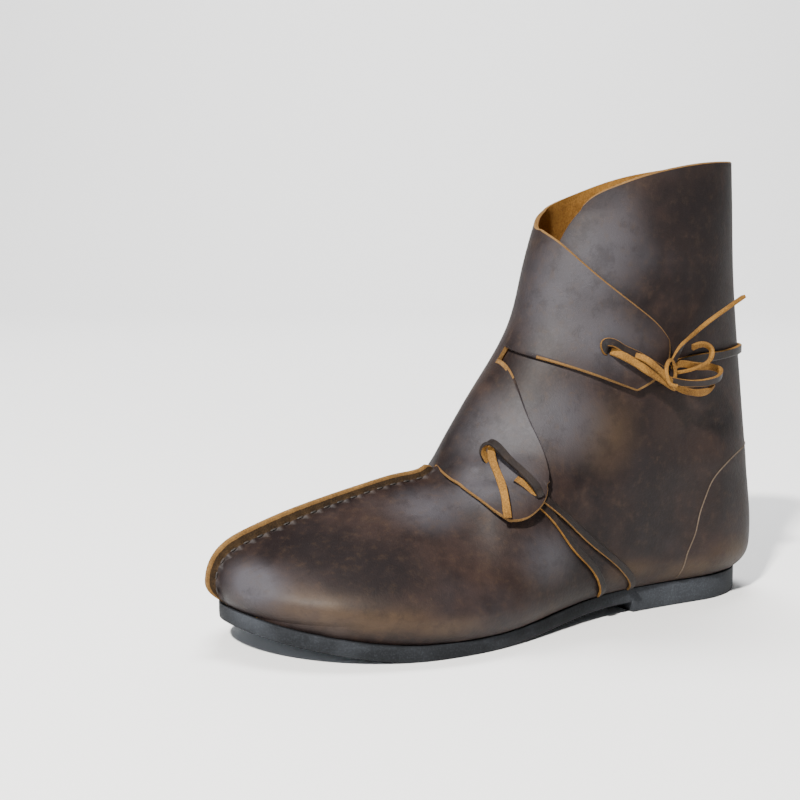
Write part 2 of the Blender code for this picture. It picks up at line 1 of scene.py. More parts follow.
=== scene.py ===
"""Left ankle boot of oiled brown leather on a rubber sole, dressed for its photograph.

Shapes are worked out in millimetres in the boot's own frame: +X to the outer side, +Y to the heel, +Z up.
"""
from __future__ import annotations

import logging
import math
from dataclasses import dataclass, field, fields
from enum import Enum, IntEnum
from functools import cached_property
from typing import Callable

import bpy
import numpy as np
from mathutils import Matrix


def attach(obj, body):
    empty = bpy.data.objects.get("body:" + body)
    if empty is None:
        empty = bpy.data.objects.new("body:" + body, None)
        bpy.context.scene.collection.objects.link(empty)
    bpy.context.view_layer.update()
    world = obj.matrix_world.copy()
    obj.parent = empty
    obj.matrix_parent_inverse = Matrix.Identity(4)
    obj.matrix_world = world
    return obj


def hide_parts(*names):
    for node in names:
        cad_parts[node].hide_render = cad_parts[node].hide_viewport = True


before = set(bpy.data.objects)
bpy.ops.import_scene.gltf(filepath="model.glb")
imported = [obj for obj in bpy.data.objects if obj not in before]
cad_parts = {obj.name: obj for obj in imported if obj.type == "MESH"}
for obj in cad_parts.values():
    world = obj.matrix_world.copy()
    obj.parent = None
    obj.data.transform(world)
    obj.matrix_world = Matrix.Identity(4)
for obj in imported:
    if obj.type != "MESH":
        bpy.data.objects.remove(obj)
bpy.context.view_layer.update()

LOG = logging.getLogger("boot")
MM = 0.001
ORIGIN = np.array([0.2, -2.3, 0.0])
BODY = "root"
WELD_DIGITS = 4
SHORTEST = 1e-9

Array = np.ndarray
Columns = dict[str, Array]
Colour = tuple[float, float, float]
Material = bpy.types.Material
Piece = bpy.types.Object


class Side(Enum):
    """Outer or inner side of the foot."""

    LATERAL = 1.0
    MEDIAL = -1.0


class Skin(IntEnum):
    """Material slot of a leather face."""

    GRAIN = 0
    FLESH = 1
    CUT = 2


class Lie(Enum):
    """How a thong's width is turned."""

    LAID = "flat on the leather"
    UPRIGHT = "width standing up"
    ON_EDGE = "width standing out from the boot's outer front quarter"
    FOLDED = "width held level across the instep, so that a turn folds it over"


HELD_WIDTH = {
    Lie.UPRIGHT: (0.0, 0.0, 1.0),
    Lie.ON_EDGE: (0.84, -0.53, 0.12),
    Lie.FOLDED: (0.10, 0.93, 0.37),
}


def table(columns: str, *rows: tuple[float, ...]) -> Columns:
    """Columns of a short table, by name.

    Args:
        columns: Names of the columns, with spaces between them.
        rows: Rows of numbers.

    Returns:
        One array for each name.
    """
    return {name: np.array(values, float) for name, values in zip(columns.split(), zip(*rows))}


def columns(names: str, *rows: tuple[float, ...]) -> Columns:
    """Dataclass field that holds a short table."""
    return field(default_factory=lambda: table(names, *rows))


def natural_spline(knots: Array, values: Array) -> Callable[[Array], Array]:
    """Natural cubic through values at knots, bending least between them.

    Args:
        knots: Rising places.
        values: Value at each place.

    Returns:
        The curve as a function of place.
    """
    gaps = np.diff(knots)
    slopes = np.diff(values) / gaps
    matrix = np.eye(len(knots))
    right = np.zeros(len(knots))
    inside = np.arange(1, len(knots) - 1)
    matrix[inside, inside - 1] = gaps[:-1]
    matrix[inside, inside] = 2 * (gaps[:-1] + gaps[1:])
    matrix[inside, inside + 1] = gaps[1:]
    right[inside] = 6 * np.diff(slopes)
    bend = np.linalg.solve(matrix, right)

    def curve(at: Array) -> Array:
        """Height of the cubic at some places.

        Args:
            at: Places, which may lie past the knots.

        Returns:
            Heights.
        """
        at = np.asarray(at, float)
        i = np.clip(np.searchsorted(knots, at) - 1, 0, len(knots) - 2)
        a = (knots[i + 1] - at) / gaps[i]
        b = (at - knots[i]) / gaps[i]
        lift = ((a**3 - a) * bend[i] + (b**3 - b) * bend[i + 1]) * gaps[i] ** 2 / 6
        return a * values[i] + b * values[i + 1] + lift

    return curve


def through(*rows: Array, count: int) -> Array:
    """Points evenly spaced by chord along the smooth curve through the rows of some columns.

    Args:
        rows: One array for each coordinate.
        count: How many points.

    Returns:
        Array of count by coordinates.
    """
    steps = np.sqrt(sum(np.diff(row) ** 2 for row in rows))
    knots = np.concatenate([[0.0], np.cumsum(steps)])
    at = np.linspace(0.0, knots[-1], count)
    return np.stack([natural_spline(knots, row)(at) for row in rows], axis=1)


def smooth(x: Array) -> Array:
    """Smooth step from 0 to 1."""
    x = np.clip(x, 0.0, 1.0)
    return x * x * (3 - 2 * x)


def unit(vectors: Array) -> Array:
    """Vectors of length one."""
    return vectors / np.maximum(np.linalg.norm(vectors, axis=-1, keepdims=True), SHORTEST)


def rounded(distance: Array, length: float, power: float = 2.0) -> Array:
    """Share of the full width at a distance from the tip of a rounded end, a superellipse of some power."""
    return (1 - (1 - np.clip(distance / length, 0, 1)) ** power) ** (1 / power)


def grid_normals(points: Array, outward: Array) -> Array:
    """Normals of a grid, from the cross product of its two directions, turned to one side.

    Args:
        points: Rows by columns by three.
        outward: Direction that the normals have to agree with.

    Returns:
        Unit normals, rows by columns by three.
    """
    normals = unit(np.cross(np.gradient(points, axis=1), np.gradient(points, axis=0)))
    return np.where(np.sum(normals * outward, axis=-1, keepdims=True) < 0, -normals, normals)


@dataclass(frozen=True)
class BootForm:
    """True shape of the boot: side view, plan, and sections between them."""

    wall: float = 2.0
    gap: float = 0.3
    lap_gap: float = 0.7
    sole_toe_y: float = -134.0
    sole_heel_y: float = 130.0
    sole_plan: Columns = columns(
        "y lateral medial", (-134, 57.5, 47.5), (-78, 57.5, 47.5), (-48, 56.5, 45), (-13, 47.5, 35),
        (12, 39, 30), (49, 32.5, 31), (95, 31, 31), (130, 31, 31))
    sole_toe_round: float = 72.0
    sole_heel_round: float = 38.0
    heel_centre_x: float = -1.3
    toe_swing: float = -8.0
    swing_from_y: float = 10.0
    swing_length: float = 145.0
    sole_thickness: float = 6.5
    heel_lift: float = 5.0
    heel_breast_y: float = 49.0
    breast_slope: float = 1.2
    ball_back_y: float = -40.0
    ball_front_y: float = -70.0
    toe_spring: float = 11.0
    toe_spring_power: float = 1.6
    toe_spring_reach: float = 1.2
    front_line: Columns = columns(
        "y z", (-131.2, 16.2), (-135.3, 21.5), (-137.3, 28.5), (-134.8, 36.5), (-120.5, 44.5), (-101.5, 51),
        (-79, 57.5), (-57, 63), (-41, 69.5), (-30, 81), (-18, 98), (-4, 116.5), (6, 134), (12, 155),
        (21.5, 183.5))
    fold_y: float = -36.5
    fold_depth: float = 4.6
    fold_front: float = 13.0
    fold_back: float = 4.8
    fold_from_share: float = 0.45
    line_points: int = 4000
    heel_line: Columns = columns(
        "y z", (130.5, 11.8), (134, 15.5), (136.3, 23), (136, 44), (134, 75), (132.8, 105), (129, 135),
        (126, 165), (123, 208))
    lateral_collar: Columns = columns(
        "share z", (0, 156), (0.018, 163.5), (0.0294, 169.7), (0.0385, 176), (0.057, 182.2), (0.10, 188.6),
        (0.184, 193.5), (0.287, 197.5), (0.465, 202), (0.65, 204.8), (0.845, 206.2), (1, 207))
    medial_collar: Columns = columns(
        "share z", (0, 174.8), (0.036, 178.6), (0.09, 182.4), (0.163, 185.6), (0.29, 189.5), (0.468, 195),
        (0.655, 200.5), (0.852, 204.5), (1, 207))
    collar_length: float = 100.0
    collar_points: int = 2000
    overhang: float = 5.5
    tuck_in: float = 6.0
    tuck_height: float = 12.0
    vamp_arch: float = 2.3
    toe_round: float = 80.0
    heel_round: float = 42.0
    round_power: float = 2.1
    leg_half_width: Columns = columns(
        "z half", (20, 46), (50, 44), (80, 39), (110, 35), (150, 33), (210, 33))
    leg_from_z: float = 35.0
    leg_blend: float = 85.0
    ridge_rise: float = 3.3
    lap_from_z: float = 69.5
    lap_fade: float = 42.0
    lap_rise: float = 8.0
    creases: Columns = columns(
        "side y z lean long wide depth",
        (1, -62, 34, 12, 34, 9, -0.9), (1, -30, 30, -32, 30, 10, -1.1), (1, 22, 62, 62, 34, 12, -1.2),
        (1, 52, 50, 78, 36, 15, 1.0), (1, 84, 84, 20, 32, 13, -0.9), (1, 96, 160, 84, 44, 12, 0.8),
        (1, 58, 168, 70, 40, 14, -0.7), (1, -98, 26, 8, 26, 9, 0.8), (1, 110, 40, 84, 30, 10, -0.7),
        (-1, -40, 40, 30, 30, 10, -1.0), (-1, 20, 75, 50, 40, 14, -1.1), (-1, 60, 120, 70, 45, 15, 0.9),
        (-1, 95, 60, 80, 40, 12, -0.9), (-1, -80, 32, 5, 30, 9, 0.8))
    crease_fade: float = 16.0

    @cached_property
    def instep(self) -> Array:
        """Toe, ridge, instep and front of the leg as points (y, z), without the fold at the seam's end."""
        return through(self.front_line["y"], self.front_line["z"], count=self.line_points)

    @cached_property
    def front(self) -> Array:
        """Front line: the instep's, sunk by an uneven bell where the seam ends and the instep folds.

        Returns:
            Points (y, z).
        """
        y, z = self.instep.T
        reach = np.where(y < self.fold_y, self.fold_front, self.fold_back)
        return np.stack([y, z - self.fold_depth * np.exp(-((y - self.fold_y) / reach) ** 2)], axis=1)

    @cached_property
    def heel(self) -> Array:
        """Points (y, z) up the back of the heel and leg."""
        return through(self.heel_line["y"], self.heel_line["z"], count=self.line_points)

    @cached_property
    def nose(self) -> int:
        """Place of the foremost point in the front line."""
        return int(np.argmin(self.front[:, 0]))

    @cached_property
    def plan_curves(self) -> dict[Side, Callable[[Array], Array]]:
        """Half width of the sole along the foot.

        Returns:
            A curve for each side.
        """
        plan = self.sole_plan
        return {Side.LATERAL: natural_spline(plan["y"], plan["lateral"]),
                Side.MEDIAL: natural_spline(plan["y"], plan["medial"])}

    @cached_property
    def collar_lines(self) -> dict[Side, Array]:
        """Collar: way from the front line to the heel line, and height.

        Returns:
            Points for each side.
        """
        sides = {Side.LATERAL: self.lateral_collar, Side.MEDIAL: self.medial_collar}
        return {side: through(self.collar_length * edge["share"], edge["z"], count=self.collar_points)
                for side, edge in sides.items()}

    def collar_z(self, share: Array, side: Side) -> Array:
        """Height of the collar at a share of the way from the front line to the heel line."""
        line = self.collar_lines[side]
        return np.interp(self.collar_length * share, line[:, 0], line[:, 1])

    @cached_property
    def leg_half(self) -> Callable[[Array], Array]:
        """Half width of the leg at a height."""
        return natural_spline(self.leg_half_width["z"], self.leg_half_width["half"])

    def front_y(self, z: Array) -> Array:
        """Front line's place at a height."""
        return np.interp(z, self.front[:, 1], self.front[:, 0])

    def back_y(self, z: Array) -> Array:
        """Heel line's place at a height."""
        return np.interp(z, self.heel[:, 1], self.heel[:, 0])

    def ridge_z(self, y: Array, line: Array | None = None) -> Array:
        """Height of the front line, or another line, above a place, carried on past the collar."""
        line = (self.front if line is None else line)[self.nose:]
        return np.interp(y, line[:, 0], line[:, 1]) + self.ridge_rise * np.maximum(y - line[-1, 0], 0)

    def centre_x(self, y: Array) -> Array:
        """Centre line in plan, swung inwards at the toe."""
        return self.heel_centre_x + self.toe_swing * smooth((self.swing_from_y - y) / self.swing_length)

    def toe_rise(self, y: Array) -> Array:
        """Lift of the sole towards the toe, a power of the distance past the ball."""
        run = (self.ball_front_y - y) / (self.ball_front_y - self.sole_toe_y)
        return self.toe_spring * np.clip(run, 0, self.toe_spring_reach) ** self.toe_spring_power

    def waist_rise(self, y: Array) -> Array:
        """Lift of the sole from the ball to the heel."""
        return self.heel_lift * smooth((y - self.ball_back_y) / (self.heel_breast_y - self.ball_back_y))

    def seat_z(self, y: Array) -> Array:
        """Top of the sole."""
        return self.sole_thickness + self.toe_rise(y) + self.waist_rise(y)

    def floor_z(self, y: Array) -> Array:
        """Underside of the sole, down to the floor under the heel."""
        heel = smooth((y - self.heel_breast_y) / self.breast_slope)
        return self.toe_rise(y) + self.waist_rise(y) * (1 - heel)

    def plan_half(self, y: Array, side: Side) -> Array:
        """Half width of the sole's plan before its ends are rounded."""
        return self.plan_curves[side](np.clip(y, self.sole_toe_y, self.sole_heel_y))

    def half(self, y: Array, z: Array, side: Side) -> Array:
        """Half width of the upper at a place in the side view.

        The foot's is the sole's plan with an overhang, rounded at both ends, tucked in at the seat and
        arched to the ridge, which the fold reaches only near the top. The leg's is an ellipse between the
        front and heel lines. The height blends them.

        Args:
            y: Places along the foot.
            z: Heights.
            side: Side of the foot.

        Returns:
            Half widths.
        """
        seat = self.seat_z(y) + self.gap
        foot = self.plan_half(y, side) + self.overhang
        foot = foot - self.tuck_in * (1 - np.clip((z - seat) / self.tuck_height, 0, 1)) ** 2
        nose_y = np.where(z < self.front[self.nose, 1], self.front_y(z), self.front[self.nose, 0])
        foot = foot * rounded(y - nose_y, self.toe_round, self.round_power)
        foot = foot * rounded(self.back_y(z) - y, self.heel_round, self.round_power)
        share = np.clip((z - seat) / (self.ridge_z(y) - seat), 0, 1)
        plain = np.clip((z - seat) / (self.ridge_z(y, self.instep) - seat), 0, 1)
        near = smooth((share - self.fold_from_share) / (1 - self.fold_from_share))
        foot = foot * (1 - (near * share + (1 - near) * plain) ** self.vamp_arch)
        front = self.front_y(z)
        along = np.clip((y - front) / (self.back_y(z) - front), 0, 1)
        leg = self.leg_half(z) * np.sqrt(np.maximum(1 - (2 * along - 1) ** 2, 0))
        blend = smooth((z - self.leg_from_z) / self.leg_blend)
        return (1 - blend) * foot + blend * leg

    def point(self, y: Array, z: Array, side: Side) -> Array:
        """Point of the leather's outer face at a place in the side view."""
        y, z = np.asarray(y, float), np.asarray(z, float)
        return np.stack([self.centre_x(y) + side.value * self.half(y, z, side), y, z], axis=-1)

    def normal(self, y: Array, z: Array, side: Side, step: float = 0.2) -> Array:
        """Outward direction of the leather: the cross product of small steps along and up.

        Args:
            y: Places along the foot.
            z: Heights.
            side: Side of the foot.
            step: Length of a step.

        Returns:
            Unit vectors.
        """
        along = self.point(y + step, z, side) - self.point(y - step, z, side)
        up = self.point(y, z + step, side) - self.point(y, z - step, side)
        normal = unit(np.cross(along, up))
        return normal * np.where(normal[..., :1] * side.value < 0, -1.0, 1.0)

    def section_turn(self, y: Array, z: Array) -> Array:
        """Angle round the level section at a place: 0 on the front line, half a turn on the heel line."""
        front = self.front_y(z)
        return np.arccos(np.clip(1 - 2 * (y - front) / (self.back_y(z) - front), -1, 1))

    def turned_y(self, turn: Array, z: Array) -> Array:
        """Place along the foot at an angle round the level section."""
        front = self.front_y(z)
        return front + (self.back_y(z) - front) * (1 - np.cos(turn)) / 2

    def relief(self, y: Array, z: Array, side: Side) -> Array:
        """Soft creases: each is a long, leaning bell of some depth, faded out at the front and heel lines.

        Args:
            y: Places along the foot.
            z: Heights.
            side: Side of the foot.

        Returns:
            Heights over the plain form.
        """
        total = np.zeros(np.shape(y))
        for place, at_y, at_z, lean, long, wide, depth in zip(*self.creases.values()):
            turn = math.radians(lean)
            u = (y - at_y) * math.cos(turn) + (z - at_z) * math.sin(turn)
            v = (z - at_z) * math.cos(turn) - (y - at_y) * math.sin(turn)
            total = total + (place == side.value) * depth * np.exp(-((u / long) ** 2) - (v / wide) ** 2)
        near = np.minimum(y - self.front_y(z), self.back_y(z) - y)
        return total * smooth(near / self.crease_fade)

    def lap_recess(self, y: Array, z: Array) -> Array:
        """How far the outer panel sinks under the flaps, near the front line."""
        near = smooth(1 - (y - self.front_y(z)) / self.lap_fade)
        return (self.wall + self.lap_gap) * near * smooth((z - self.lap_from_z) / self.lap_rise)

    def line_normal(self, line: Array, z: Array, sign: float) -> Array:
        """Normal in the side view of the front or heel line, at some heights."""
        run = np.interp(z, line[:, 1], np.gradient(line[:, 0], line[:, 1]))
        return unit(np.stack([np.zeros_like(run), np.ones_like(run), -run], axis=-1)) * sign

    def stand_off(self, y: Array, z: Array, stand: Array, side: Side = Side.LATERAL) -> Array:
        """Points that stand off the leather along its normal."""
        lift = np.asarray(stand) + self.relief(y, z, side)
        return self.point(y, z, side) + lift[..., None] * self.normal(y, z, side)


def mesh_object(name: str, points: Array, faces: list, finishes: list[Material],
                which: Array | None = None, sharp: float = 40.0) -> Piece:
    """Object at the origin with a smooth mesh, riding on the boot.

    Args:
        name: Name of the piece.
        points: Vertices in millimetres.
        faces: Corner indices of each face.
        finishes: Materials, in slot order.
        which: Material slot of each face.
        sharp: Angle in degrees past which an edge is sharp.

    Returns:
        The new object.
    """
    mesh = bpy.data.meshes.new(name)
    mesh.from_pydata((points - ORIGIN) * MM, [], faces)
    for finish in finishes:
        mesh.materials.append(finish)
    if which is not None:
        mesh.polygons.foreach_set("material_index", np.asarray(which, np.int32))
    mesh.shade_smooth()
    mesh.set_sharp_from_angle(angle=math.radians(sharp))
    mesh.update()
    obj = bpy.data.objects.new(name, mesh)
    bpy.context.scene.collection.objects.link(obj)
    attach(obj, BODY)
    LOG.info("%s: %d faces", name, len(mesh.polygons))
    return obj


def tube_faces(rings: Array) -> list[list[int]]:
    """Faces of closed tubes: quads between rings that follow each other, then a cap on every end.

    Args:
        rings: Points of a tube, rings by sides by three, or of many tubes alike.

    Returns:
        Corner indices of each face, the quads first.
    """
    index = np.arange(rings[..., 0].size).reshape(rings.shape[:-1])
    near, far = index[..., :-1, :], index[..., 1:, :]
    quads = np.stack([near, far, np.roll(far, -1, axis=-1), np.roll(near, -1, axis=-1)], axis=-1)
    caps = np.stack([index[..., 0, :], index[..., -1, ::-1]]).reshape(-1, index.shape[-1])
    return quads.reshape(-1, 4).tolist() + caps.tolist()


@dataclass
class LeatherSheet:
    """Grid of leather with an outer face, a flesh face and cut edges round every free border.

    Attributes:
        outer: Outer points, rows by columns by three.
        inner: Flesh-side points, of the same shape.
        cells: Which cells of the grid hold leather.
        joined: Which points lie on a border that another border closes, so that it has no cut edge.
        skived: Which cells of the outer face are pared down to the cut edge.
        turned_in: Which points lie on a border whose edge is grain: a border turned in, or a cut edge given
            the grain's colour as painted shade.
    """

    outer: Array
    inner: Array
    cells: Array
    joined: Array
    skived: Array
    turned_in: Array

    def faces(self) -> tuple[Array, Array, Array, Array]:
        """Quads and their material slots.

        Returns:
            Outer, inner and edge quads, as corner indices into outer points followed by inner points,
            and the slot of every quad in that order.
        """
        rows, cols = self.outer.shape[:2]
        index = np.arange(rows * cols).reshape(rows, cols)
        quads = np.stack([index[:-1, :-1], index[:-1, 1:], index[1:, 1:], index[1:, :-1]], axis=-1)
        padded = np.pad(self.cells, 1)
        beside = padded[:-2, 1:-1], padded[1:-1, 2:], padded[2:, 1:-1], padded[1:-1, :-2]
        free = self.cells[..., None] & ~np.stack(beside, axis=-1)
        start = quads[free]
        end = np.roll(quads, -1, axis=-1)[free]
        closed = self.joined.ravel()[start] & self.joined.ravel()[end]
        start, end = start[~closed], end[~closed]
        shift = rows * cols
        edge = np.stack([end, start, start + shift, end + shift], axis=-1)
        face = quads[self.cells]
        plain = self.turned_in.ravel()[start] & self.turned_in.ravel()[end]
        which = np.concatenate([np.where(self.skived[self.cells], Skin.CUT, Skin.GRAIN),
                                np.full(len(face), Skin.FLESH), np.where(plain, Skin.GRAIN, Skin.CUT)])
        return face, face[:, ::-1] + shift, edge, which

    def build(self, name: str, finishes: list[Material], outward: Array) -> Piece:
        """Makes the sheet's closed mesh, with the points of joined borders merged.

        Args:
            name: Name of the piece.
            finishes: Grain, flesh and cut-edge materials.
            outward: Outward direction at each outer point.

        Returns:
            The new object.
        """
        *groups, which = self.faces()
        points = np.concatenate([self.outer.reshape(-1, 3), self.inner.reshape(-1, 3)])
        corner, beside, _, above = groups[0].T
        facing = np.cross(points[beside] - points[corner], points[above] - points[corner])
        faces = np.concatenate(groups)
        if np.sum(facing * outward.reshape(-1, 3)[corner]) < 0:
            faces = faces[:, ::-1]
        used, faces = np.unique(faces, return_inverse=True)
        places = points[used].round(WELD_DIGITS)
        _, first, weld = np.unique(places, axis=0, return_index=True, return_inverse=True)
        faces = weld.ravel()[faces.reshape(-1, 4)]
        return mesh_object(name, points[used][first], faces.tolist(), finishes, which)


class Value:
    """Number on a shader socket, with arithmetic that adds Math nodes."""

    def __init__(self, shader: Shader, socket: bpy.types.NodeSocket) -> None:
        """Wraps one output socket of a shader's tree."""
        self.shader = shader
        self.socket = socket

    def math(self, operation: str, *others: Number) -> Value:
        """Result of one Math node, with this value first."""
        return self.shader.math(operation, self, *others)

    def __add__(self, other: Number) -> Value:
        """Sum."""
        return self.math("ADD", other)

    __radd__ = __add__

    def __sub__(self, other: Number) -> Value:
        """Difference."""
        return self.math("SUBTRACT", other)

    def __rsub__(self, other: float) -> Value:
        """Number less this value."""
        return self.shader.math("SUBTRACT", other, self)

    def __mul__(self, other: Number) -> Value:
        """Product."""
        return self.math("MULTIPLY", other)

    __rmul__ = __mul__

    def ramp(self, low: float, high: float) -> Value:
        """Smooth step from 0 to 1.

        Args:
            low: Value at which it begins.
            high: Value at which it ends.

        Returns:
            The step.
        """
        node = self.shader.node("ShaderNodeMapRange", {"interpolation_type": "SMOOTHSTEP"},
                                {"Value": self, "From Min": low, "From Max": high})
        return Value(self.shader, node.outputs["Result"])

    def full(self) -> Value:
        """This value, held at 1 where it is more."""
        return self.math("MINIMUM", 1.0)


Number = Value | float


@dataclass(frozen=True)
class Noise:
    """Noise over an object.

    Attributes:
        scale: Waves per metre.
        detail: Layers of finer waves.
        roughness: How strong the finer waves are.
        stretch: Scale along each axis.
    """

    scale: float
    detail: float = 2.0
    roughness: float = 0.5
    stretch: tuple[float, float, float] = (1.0, 1.0, 1.0)


@dataclass(frozen=True)
class Veil:
    """Share of a colour that noise lays over a surface.

    Attributes:
        noise: The noise.
        low: Noise at which the veil begins.
        high: Noise at which it is full.
        share: Share of the colour where it is full.
    """

    noise: Noise
    low: float
    high: float
    share: float

    def over(self, value: Value) -> Value:
        """The veil's share where its noise is already worked out."""
        return value.ramp(self.low, self.high) * self.share


class Shader:
    """Node tree of one material with a Principled shader.

    Attributes:
        MIX_COLOURS: Inputs of a Mix node that take its two colours.
        MIX_RESULT: Output of a Mix node that gives the mixed colour.
    """

    MIX_COLOURS = (6, 7)
    MIX_RESULT = 2

    def __init__(self, name: str) -> None:
        """Makes an empty material.

        Args:
            name: Name of the material.
        """
        self.material = bpy.data.materials.new(name)
        self.material.use_nodes = True
        self.tree = self.material.node_tree
        self.surface = self.tree.nodes["Principled BSDF"]
        self.coordinates = self.node("ShaderNodeTexCoord", {}, {}).outputs["Object"]

    def node(self, kind: str, settings: dict, sockets: dict) -> bpy.types.Node:
        """Adds one node.

        Args:
            kind: Type of the node.
            settings: Properties of the node, set first.
            sockets: Value, Value wrapper or socket for inputs, by name or number.

        Returns:
            The new node.
        """
        node = self.tree.nodes.new(kind)
        for key, setting in settings.items():
            setattr(node, key, setting)
        for key, given in sockets.items():
            self.feed(node.inputs[key], given)
        return node

    def feed(self, socket: bpy.types.NodeSocket, given: object) -> None:
        """Links or sets one input socket.

        Args:
            socket: The input.
            given: Value wrapper, output socket, number, vector or colour.
        """
        if isinstance(given, Value):
            given = given.socket
        if isinstance(given, bpy.types.NodeSocket):
            self.tree.links.new(given, socket)
        elif socket.type == "RGBA":
            socket.default_value = (*given, 1.0)
        else:
            socket.default_value = given

    def math(self, operation: str, *terms: Number) -> Value:
        """Value of one Math node."""
        node = self.node("ShaderNodeMath", {"operation": operation}, dict(enumerate(terms)))
        return Value(self, node.outputs[0])

    def vector(self, operation: str, *terms: object) -> bpy.types.Node:
        """One Vector Math node."""
        return self.node("ShaderNodeVectorMath", {"operation": operation}, dict(enumerate(terms)))

    def noise(self, noise: Noise) -> Value:
        """Noise over the object.

        Args:
            noise: Its scale, detail, roughness and stretch.

        Returns:
            Values between 0 and 1.
        """
        place = self.node("ShaderNodeMapping", {}, {"Vector": self.coordinates, "Scale": noise.stretch})
        node = self.node("ShaderNodeTexNoise", {}, {
            "Vector": place.outputs[0], "Scale": noise.scale, "Detail": noise.detail,
            "Roughness": noise.roughness})
        return Value(self, node.outputs["Fac"])

    def veil(self, veil: Veil) -> Value:
        """Share of a colour that a veil lays over the surface."""
        return veil.over(self.noise(veil.noise))

    def cells(self, scale: float, feature: str = "F1") -> Value:
        """Distance to the middles or borders of random cells.

        Args:
            scale: Cells per metre.
            feature: What the distance is measured to.

        Returns:
            Distances.
        """
        node = self.node("ShaderNodeTexVoronoi", {"feature": feature},
                         {"Vector": self.coordinates, "Scale": scale})
        return Value(self, node.outputs["Distance"])

    def mix(self, share: Number, first: object, second: object) -> bpy.types.NodeSocket:
        """Colour between two colours.

        Args:
            share: Share of the second colour.
            first: Colour or its socket.
            second: Colour or its socket.

        Returns:
            Socket of the mixed colour.
        """
        colours = dict(zip(self.MIX_COLOURS, (first, second)))
        node = self.node("ShaderNodeMix", {"data_type": "RGBA"}, {0: share, **colours})
        return node.outputs[self.MIX_RESULT]

    def spots(self, patches: Columns) -> list[Value]:
        """Soft spots: each is 1 at its middle and 0 past an ellipsoid round it.

        Args:
            patches: Middle x, y, z and radii across, along and up, in millimetres.

        Returns:
            One value for each spot.
        """
        found = []
        for row in zip(*patches.values()):
            middle, radii = np.array(row).reshape(2, 3)
            place = self.vector("SUBTRACT", self.coordinates, tuple((middle - ORIGIN) * MM))
            scaled = self.vector("DIVIDE", place.outputs[0], tuple(radii * MM))
            far = self.vector("LENGTH", scaled.outputs[0])
            found.append(1 - Value(self, far.outputs["Value"]).ramp(0.0, 1.0))
        return found

    def constants(self, numbers: dict[str, float]) -> None:
        """Sets inputs of the Principled shader that stay the same all over, by name."""
        for name, number in numbers.items():
            self.surface.inputs[name].default_value = number

    def finish(self, colour: object, roughness: Number, height: Value | None = None, depth: float = 0.0,
               strength: float = 0.0) -> Material:
        """Joins colour, roughness and bump to the Principled shader.

        Args:
            colour: Base colour or its socket.
            roughness: Roughness or its value.
            height: Height of the bump, or none.
            depth: Bump distance in metres.
            strength: Bump strength.

        Returns:
            The finished material.
        """
        inputs = self.surface.inputs
        self.feed(inputs["Base Color"], colour)
        self.feed(inputs["Roughness"], roughness)
        if height is not None:
            sockets = {"Strength": strength, "Distance": depth, "Height": height}
            self.feed(inputs["Normal"], self.node("ShaderNodeBump", {}, sockets).outputs[0])
        return self.material


class Patch(Enum):
    """Patches of grain leather, each with the veil that breaks it up."""

    # Rubbed wear; the spot at the toe's tip is also part of a painted highlight.
    RUBBED_AND_TOE_HIGHLIGHT = Veil(Noise(70, 6, 0.64), 0.10, 0.56, 0.75)
    # Painted sheen and highlight: grey where the leather faces the light.
    GREY = Veil(Noise(70, 6, 0.64), -0.20, 0.56, 0.85)
    # Dark blotches, and painted shadow round the thongs' slits.
    DARK = Veil(Noise(70, 6, 0.64), 0.10, 0.56, 0.88)


